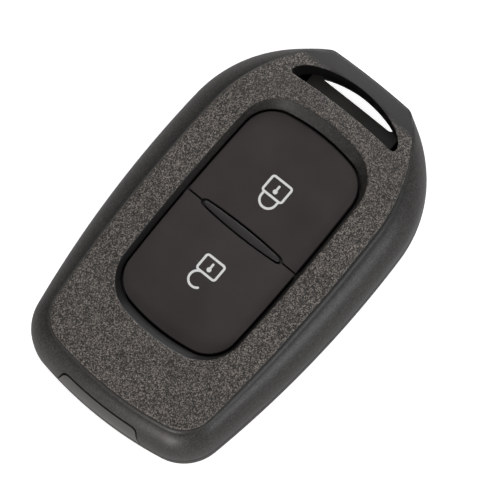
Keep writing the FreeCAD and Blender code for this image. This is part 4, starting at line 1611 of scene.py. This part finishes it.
@dataclass
class LensRidge:
    """The blunt lens between the keys."""

    half: float = 9.0
    rise: float = 1.12
    shoulder: Point = (7.7, 0.8)
    gap: float = 0.34
    arc_steps: int = 40
    tip_steps: int = 9

    def ring(self, shrink: float = 0.0) -> list[Point]:
        """Return the lens, drawn in by a distance, from its left shoulder over the top.

        Args:
            shrink: Distance that the lens is drawn in.

        Returns:
            The points, clockwise.
        """
        half, rise = self.half - 1.5 * shrink, self.rise - shrink
        x, y = self.shoulder[0] - 0.6 * shrink, self.shoulder[1] - shrink
        radius = (x * x + (rise - y) ** 2) / (2 * (rise - y))
        ring = []
        for side in (1, -1):
            arc = Circle(0.0, PLAN.split_y + side * (rise - radius), radius)
            shoulder_y = PLAN.split_y + side * y
            ring += arc.sweep((-side * x, shoulder_y), (side * x, shoulder_y), self.arc_steps)
            for i in range(self.tip_steps):
                turn = math.pi * i / self.tip_steps
                reach = x + (half - x) * math.sin(turn)
                ring.append((side * reach, PLAN.split_y + side * y * math.cos(turn)))
        return ring


@dataclass
class Key:
    """One key: a flat soft-edged cap, hollow from below, with a foot under the shell."""

    side: Side
    lens: LensRidge
    edge_round: float = 0.7
    edge_steps: int = 5
    draw_in: float = 0.1
    foot_z: float = 9.55
    under_z: float = 12.6
    flange_top: float = 10.35
    flange: float = 0.9
    plate: float = 1.2
    wall: float = 1.1
    rib_half: float = 0.4
    boss_half: float = 1.7
    boss_gap: float = 0.05
    coil_gap: float = 0.35
    tip: float = 0.06

    def edge_y(self, more: float = 0.0) -> float:
        """Return where the key starts beside the frame's bar, or a place farther on."""
        return PLAN.split_y + self.side.value * (PLAN.bar_half + PLAN.key_gap + more)

    @staticmethod
    def across(name: str, start: float, end: float, top: float = FAR) -> Mesh:
        """Return a box right across the keys between two places along the fob."""
        return block(name, (-FAR, min(start, end), PLAN.under_keys), (FAR, max(start, end), top))

    def hollow(self, middle: Vector) -> Mesh:
        """Return the room under the cap up to its plate, with a rib left across the plunger's middle.

        Args:
            middle: Place of the switch's plunger.

        Returns:
            The closed mesh.
        """
        return carved(
            prism("room", PAD.ring(-self.wall), self.foot_z - 2 * PLAN.past, PLAN.pad_z - self.plate),
            (Cut.KEEP, self.across("half_room", self.edge_y(self.wall), self.side.value * 2 * FAR)),
            (Cut.AWAY, self.across("rib", middle.y - self.rib_half, middle.y + self.rib_half)),
        )

    def coil_room(self) -> Mesh:
        """Return the notch that keeps the pressed key's wall off the transponder coil.

        Returns:
            The closed mesh.
        """
        low, high, _ = extent("lf_coil_core")
        gap = self.coil_gap
        bottom, top = self.foot_z - PLAN.past, high.z + 2 * gap
        return block("coil_room", (low.x - gap, low.y - gap, bottom), (high.x + gap, high.y + gap, top))

    def boss(self, middle: Vector, plunger_top: float) -> Mesh:
        """Return the post that pushes the switch's plunger.

        Args:
            middle: Place of the plunger.
            plunger_top: Height of its top at rest.

        Returns:
            The closed mesh.
        """
        half = self.boss_half
        return block(
            "boss", (middle.x - half, middle.y - half, plunger_top + self.boss_gap),
            (middle.x + half, middle.y + half, PLAN.pad_z - self.plate + self.rib_half),
        )

    def plan(self) -> list[Point]:
        """Return the cap's outline: the pad's outline on this side of the slit, less the lens.

        Returns:
            The points from the right end of the slit round the key.
        """
        side = self.side.value
        edge = PLAN.split_y + side * PLAN.split_gap / 2
        pad = [p for p in PAD.ring(-self.draw_in) if side * (p[1] - edge) > 0.05]
        pad.sort(key=lambda p: math.atan2(side * (p[1] - edge), p[0]))
        lens = [p for p in self.lens.ring() if side * (p[1] - edge) > 0.02]
        lens.sort(key=lambda p: p[0])
        flank = PAD.half - self.draw_in - 0.02
        start, end = (lens[0][0] - self.tip, edge), (lens[-1][0] + self.tip, edge)
        return [(flank, edge), *pad, (-flank, edge), start, *lens, end]

    def build(self) -> Piece:
        """Build and dress the key.

        Returns:
            The key, riding on its own body.
        """
        word, near, far = self.side.word, self.edge_y(), self.side.value * 2 * FAR
        _, high, middle = extent(f"{word}_switch_plunger")
        cap = prism("cap", self.plan(), self.foot_z, PLAN.pad_z)
        skirt = prism("skirt", PAD.ring(self.flange), self.foot_z, self.flange_top)
        steps = [
            (Cut.AWAY, self.across("under", near, -far, self.under_z)),
            (Cut.JOIN, carved(skirt, (Cut.KEEP, self.across("half", near, far)))),
            (Cut.AWAY, self.hollow(middle)), (Cut.JOIN, self.boss(middle, high.z)),
        ]
        if self.side is Side.LOCK:
            steps.append((Cut.AWAY, self.coil_room()))
        mesh = carved(softened(cap, PLAN.pad_z, self.edge_round, self.edge_steps), *steps)
        return Fitting(f"{word}_key", f"{word}_key", "key_plastic", (f"{word}_button",)).finish(
            mesh, [Finish.KEY], 40.0,
        )


@dataclass
class PrintedSign:
    """A padlock sign on a key, drawn as strokes and dots of ink."""

    side: Side
    stroke: float = 0.43
    ink: float = 0.05
    layer: float = 0.004
    centre_x: float = 0.07
    corner: float = 0.45
    eye_rise: float = 1.05
    stem_rise: float = 2.19
    eye_radius: float = 0.44

    def box(self, half: float, low: float, tall: float) -> list[Point]:
        """Return a rounded rectangle.

        Args:
            half: Half its width.
            low: Y of its lower side.
            tall: Its size along Y.

        Returns:
            The points, anticlockwise.
        """
        r = self.corner
        x, high = half - r, low + tall - r
        corners = ((x, high, 0), (-x, high, 90), (-x, low + r, 180), (x, low + r, 270))
        points = []
        for cx, cy, start in corners:
            points += bow((self.centre_x + cx, cy), r, start, start + 90, 5)
        return points

    def strokes(self) -> tuple[list[tuple[list[Point], bool]], list[tuple[Point, float]]]:
        """Lay out the strokes and dots for this side.

        Returns:
            The lines, each with whether it closes, and the dots, each with its radius.
        """
        dots = []
        if self.side is Side.LOCK:
            half, low, tall, radius, drop = 2.1, 10.0, 3.26, 1.58, 0.75
            shackle = bow((self.centre_x, low - drop), radius, 180, 360)
            shackle = [(self.centre_x - radius, low), *shackle, (self.centre_x + radius, low)]
        else:
            half, low, tall, radius, drop = 1.98, -7.82, 3.14, 1.53, 1.51
            shackle = bow((-0.46, low - drop), radius, 108, 314)
            dots.append((shackle[-1], self.stroke / 2))
        eye, stem = (self.centre_x, low + self.eye_rise), (self.centre_x, low + self.stem_rise)
        lines = [(self.box(half, low, tall), True), (shackle, False), ([eye, stem], False)]
        return lines, [*dots, (eye, self.eye_radius), (stem, self.stroke / 2)]

    def build(self, recipe: NodeRecipe) -> Piece:
        """Build and dress the sign.

        Args:
            recipe: The tree that turns lines into strokes.

        Returns:
            The sign, riding on its key.
        """
        lines, dots = self.strokes()
        word, z = self.side.word, PLAN.pad_z + self.ink / 2 - 0.01
        raised = [(lift(line, z + self.layer * i), closed) for i, (line, closed) in enumerate(lines)]
        parts = [recipe.grown(
            line_mesh("sign", raised), Finish.INK, Width=self.stroke, Thickness=self.ink,
        )]
        for i, (centre, radius) in enumerate(dots, len(lines)):
            top = z + self.ink / 2 + self.layer * i
            parts.append(prism("dot", disc(centre, radius), PLAN.pad_z - 0.02, top))
        piece = Fitting(f"{word}_sign", f"{word}_key", "key_plastic")
        return piece.finish(joined("sign", parts), [Finish.INK], 30.0)


@dataclass
class KeyFrame:
    """The frame that holds the keys, with the lens ridge that shows between them."""

    lens: LensRidge
    border: float = 2.2
    thick: float = 1.0
    bar_thick: float = 0.6
    bar_overlap: float = 0.3
    ridge_rise: float = 0.1
    ridge_round: float = 0.3

    def build(self) -> Piece:
        """Build and dress the frame.

        Returns:
            The piece, riding on the fob.
        """
        low, top = PLAN.roof_z - self.thick, PLAN.pad_z + self.ridge_rise
        outer, inner = PAD.ring(PLAN.key_gap + self.border), PAD.ring(PLAN.key_gap)
        levels = ((outer, low), (outer, PLAN.roof_z), (inner, PLAN.roof_z), (inner, low))
        ridge = softened(prism("ridge", self.lens.ring(self.lens.gap), low + 0.01, top), top, self.ridge_round, 4)
        reach = PAD.half + PLAN.key_gap + self.bar_overlap
        bar = block(
            "bar", (-reach, PLAN.split_y - PLAN.bar_half, low + 0.005),
            (reach, PLAN.split_y + PLAN.bar_half, low + self.bar_thick),
        )
        mesh = carved(
            solid("key_frame", [lift(ring, z) for ring, z in levels], closed=True),
            (Cut.JOIN, bar), (Cut.JOIN, ridge),
        )
        piece = Fitting("key_frame_piece", "fob", "frame_plastic", ("key_frame",))
        return piece.finish(mesh, [Finish.FRAME], 40.0)


@dataclass
class BladePlug:
    """The plug in the blade opening: flush with the bevel outside, with a tongue inside."""

    shell: FrontShell
    opening: BladeOpening
    tongue_half: float = 5.5
    tongue_length: float = 3.0
    tongue_z: Point = (6.9, 9.1)

    def build(self) -> Piece:
        """Build and dress the plug.

        Returns:
            The piece, riding on the fob.
        """
        gap, (low, high) = self.opening.gap, self.tongue_z
        inner_y = self.opening.inner_y(gap)
        half, end_y = self.tongue_half, inner_y + self.tongue_length
        tongue = block("tongue", (-half, inner_y - 0.3, low), (half, end_y, high))
        tool = self.opening.tool(gap, PLAN.parting_z + 0.01)
        face = carved(solid("plug", *self.shell.outer_rings()), (Cut.KEEP, tool))
        return Fitting("blade_plug", "fob", "plug_plastic", ("blade_slot_plug",)).finish(
            carved(face, (Cut.JOIN, tongue)), (Finish.PLUG, Finish.PLUG, Finish.DARK),
        )


# --- The board ---

@dataclass
class Electronics:
    """Finishes for the pieces inside, and the leads, turns and caps that repeat on them."""

    lead_pitch: float = 0.8
    lead_margin: float = 0.8
    lead: tuple[float, float, float, float] = (0.32, 0.8, 0.35, 0.12)
    wire: float = 0.34
    wire_space: float = 1.02
    coil_corner: float = 0.3
    passive_count: int = 5
    passive_pitch: float = 2.4
    passive_length: float = 1.6
    cap_inset: float = 0.14
    cap_length: float = 0.32
    cap_lift: float = 0.02

    def dress(self) -> None:
        """Give every carried-over node its material."""
        for finish, nodes in {
            Finish.BOARD: "circuit_board", Finish.CELL: "coin_cell",
            Finish.CONTACT: "battery_positive_clip battery_negative_contact lock_switch_cover unlock_switch_cover",
            Finish.SWITCH: "lock_switch_housing unlock_switch_housing",
            Finish.PLUNGER: "lock_switch_plunger unlock_switch_plunger",
            Finish.RESIN: "microcontroller rf_transmitter", Finish.CRYSTAL: "crystal",
            Finish.FERRITE: "lf_coil_core", Finish.COPPER: "lf_coil_winding", Finish.TRACK: "loop_antenna",
            Finish.CAPACITOR: "chip_capacitors", Finish.RESISTOR: "chip_resistors",
        }.items():
            for node in nodes.split():
                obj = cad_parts[node]
                if not obj.material_slots:
                    obj.data.materials.append(finish.material)
                for slot in obj.material_slots:
                    slot.material = finish.material

    def leads(self, recipe: NodeRecipe, node: str, all_round: bool) -> Piece:
        """Set bent leads along a chip's sides.

        Args:
            recipe: The tree that makes one lead on each point.
            node: The chip.
            all_round: Leads on all four sides, not just on two.

        Returns:
            The leads, riding on the fob.
        """
        low, high, middle = extent(node)
        spots, turns = [], []
        for side in range(0, 4, 1 if all_round else 2):
            sizes = (high.y - low.y, high.x - low.x)
            span, depth = sizes if side % 2 == 0 else sizes[::-1]
            count = max(2, int((span - self.lead_margin) / self.lead_pitch))
            turn, reach = math.pi / 2 * side, depth / 2
            for i in range(count):
                shift = (i - (count - 1) / 2) * self.lead_pitch
                x = middle.x + math.cos(turn) * reach - math.sin(turn) * shift
                y = middle.y + math.sin(turn) * reach + math.cos(turn) * shift
                spots.append((x, y, low.z + 0.01))
                turns.append(turn)
        base = new_mesh("leads", spots)
        base.attributes.new("turn", "FLOAT", "POINT").data.foreach_set("value", turns)
        width, reach, height, thickness = self.lead
        mesh = recipe.grown(base, Finish.SOLDER, Width=width, Reach=reach, Height=height, Thickness=thickness)
        return Fitting(f"{node}_leads", "fob", "contact_metal").finish(mesh, [Finish.SOLDER])

    def turns(self, recipe: NodeRecipe) -> Piece:
        """Wind the transponder coil turn by turn in place of its plain sleeve.

        Args:
            recipe: The tree that winds one turn on each point.

        Returns:
            The piece, riding on the fob.
        """
        low, high, middle = extent("lf_coil_winding")
        pitch = self.wire * self.wire_space
        count = int((high.x - low.x - self.wire) / pitch) + 1
        start = middle.x - (count - 1) * pitch / 2
        base = new_mesh("turns", [(start + i * pitch, middle.y, middle.z) for i in range(count)])
        side = high.z - low.z - self.wire
        mesh = recipe.grown(base, Finish.COPPER, Side=side, Wire=self.wire, Corner=self.coil_corner)
        piece = Fitting("coil_turns", "fob", "copper_winding", ("lf_coil_winding",))
        return piece.finish(mesh, [Finish.COPPER], 60.0)

    def caps(self, recipe: NodeRecipe, node: str) -> Piece:
        """Put the metal ends on a row of chip parts.

        Args:
            recipe: The tree that puts a cap on each point.
            node: The row of chip parts.

        Returns:
            The piece, riding on the fob.
        """
        low, high, middle = extent(node)
        spots = []
        for i in range(self.passive_count):
            for end in (self.cap_inset, self.passive_length - self.cap_inset):
                spots.append((low.x + i * self.passive_pitch + end, middle.y, middle.z + self.cap_lift))
        width, height = high.y - low.y + 3 * self.cap_lift, high.z - low.z + self.cap_lift
        mesh = recipe.grown(
            new_mesh("caps", spots), Finish.SOLDER, Length=self.cap_length, Width=width, Height=height,
        )
        return Fitting(f"{node}_ends", "fob", "contact_metal").finish(mesh, [Finish.SOLDER])

    def build(self) -> None:
        """Dress the nodes and add what repeats on them."""
        self.dress()
        lead = lead_recipe()
        self.leads(lead, "microcontroller", True)
        self.leads(lead, "rf_transmitter", False)
        self.turns(coil_recipe())
        caps = cap_recipe()
        self.caps(caps, "chip_capacitors")
        self.caps(caps, "chip_resistors")


# --- Studio ---

@dataclass(frozen=True)
class Lamp:
    """A square soft light that points at the fob, with its place and side in millimetres."""

    name: str
    place: Spot
    size: float
    power: float
    tint: Spot = (1.0, 1.0, 1.0)

    def hang(self, aim: Vector) -> None:
        """Add the light to the scene, turned to a point.

        Args:
            aim: The point that it faces, in millimetres.
        """
        light = bpy.data.lights.new(self.name, "AREA")
        light.shape = "SQUARE"
        light.size, light.energy, light.color = self.size * MM, self.power, self.tint
        obj = placed(self.name, light)
        obj.location = Vector(self.place) * MM
        obj.rotation_euler = (aim - Vector(self.place)).to_track_quat("-Z", "Y").to_euler()


@dataclass
class Studio:
    """The pale floor, the soft lights and the camera."""

    middle: Spot = (0.0, 0.0, 7.5)
    toward_camera: Spot = (0.197, -0.162, 1.0)
    spin: float = math.radians(38.58)
    distance: float = 2000.0
    pixels_per_mm: float = 5.792
    frame_pixels: int = 480
    shift_px: Point = (-4.5, 8.1)
    sensor: float = 36.0
    floor_half: float = 3000.0
    floor_z: float = -0.03
    floor_lift: float = 0.75
    sky: float = 0.2
    lamps: tuple[Lamp, ...] = (
        Lamp("top_light", (-150.0, 150.0, 600.0), 260.0, 0.55),
        Lamp("nose_light", (-170.0, 520.0, 220.0), 140.0, 1.5),
        Lamp("right_light", (440.0, 40.0, 260.0), 110.0, 0.7, (0.95, 0.98, 1.0)),
        Lamp("tail_light", (110.0, -460.0, 170.0), 60.0, 1.1, (1.0, 0.96, 0.93)),
    )

    def floor(self) -> None:
        """Lay a plain pale floor under the fob that the camera sees brighter than it is lit."""
        half, low = self.floor_half, self.floor_z
        rim = [(-half, -half, low), (half, -half, low), (half, half, low), (-half, half, low)]
        mesh = new_mesh("floor", rim, faces=[(0, 1, 2, 3)])
        material = bpy.data.materials.new("floor_paper")
        material.use_nodes = True
        t = NodeTree(material.node_tree)
        t.tree.nodes.clear()
        camera_ray = t.node("ShaderNodeLightPath").outputs["Is Camera Ray"]
        seen = t.node("ShaderNodeMath", {0: camera_ray, 1: self.floor_lift}, operation="MULTIPLY")
        paper = t.node("ShaderNodeBsdfDiffuse", {"Color": (0.9, 0.9, 0.9, 1.0)})
        glow = t.node("ShaderNodeEmission", {"Color": (1.0, 1.0, 1.0, 1.0), "Strength": seen})
        t.node("ShaderNodeOutputMaterial", {"Surface": t.node("ShaderNodeAddShader", {0: paper, 1: glow})})
        mesh.materials.append(material)
        placed("floor", mesh)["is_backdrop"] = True

    def world(self) -> None:
        """Surround the scene with even pale light, white to the camera."""
        world = bpy.data.worlds.new("studio")
        world.use_nodes = True
        t = NodeTree(world.node_tree)
        camera_ray = t.node("ShaderNodeLightPath").outputs["Is Camera Ray"]
        seen = t.node("ShaderNodeMapRange", {"Value": camera_ray, "To Min": self.sky, "To Max": 1.0})
        back = t.tree.nodes["Background"].inputs
        t.put(back["Color"], (1.0, 1.0, 1.0, 1.0))
        t.put(back["Strength"], seen)
        bpy.context.scene.world = world

    def camera(self) -> None:
        """Set the camera at the photograph's viewing angle."""
        back = Vector(self.toward_camera).normalized()
        flat_x = (Vector((1, 0, 0)) - back * back.x).normalized()
        flat_y = back.cross(flat_x)
        right = flat_x * math.cos(self.spin) + flat_y * math.sin(self.spin)
        up = back.cross(right)
        shift_x, shift_y = (pixels / self.pixels_per_mm for pixels in self.shift_px)
        aim = Vector(self.middle) - right * shift_x + up * shift_y
        data = bpy.data.cameras.new("camera")
        data.sensor_width = self.sensor
        data.lens = self.pixels_per_mm * self.distance * self.sensor / self.frame_pixels
        data.clip_end = 20.0
        turned = Matrix((right, up, back)).transposed().to_4x4()
        turned.translation = (aim + back * self.distance) * MM
        camera = placed("camera", data)
        camera.matrix_world = turned
        bpy.context.scene.camera = camera

    def build(self) -> None:
        """Set up the floor, the lights and the camera."""
        self.floor()
        self.world()
        for lamp in self.lamps:
            lamp.hang(Vector(self.middle))
        self.camera()
        bpy.context.scene.view_settings.view_transform = "Standard"


# --- Assembly ---

def corners() -> list[list[float]]:
    """Return the shown object's lowest and highest corners as plain lists."""
    return [list(corner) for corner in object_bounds()]


def main() -> None:
    """Build every piece in order."""
    logging.basicConfig(level=logging.INFO, format="%(name)s: %(message)s")
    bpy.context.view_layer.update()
    slot, opening, lens = RingSlot(), BladeOpening(), LensRidge()
    shell = FrontShell(slot, opening)
    shell.build()
    RearShell(slot).build()
    BladePlug(shell, opening).build()
    KeyFrame(lens).build()
    stroke = stroke_recipe()
    for side in Side:
        Key(side, lens).build()
        PrintedSign(side).build(stroke)
    Electronics().build()
    Studio().build()


if __name__ == "__main__":
    main()
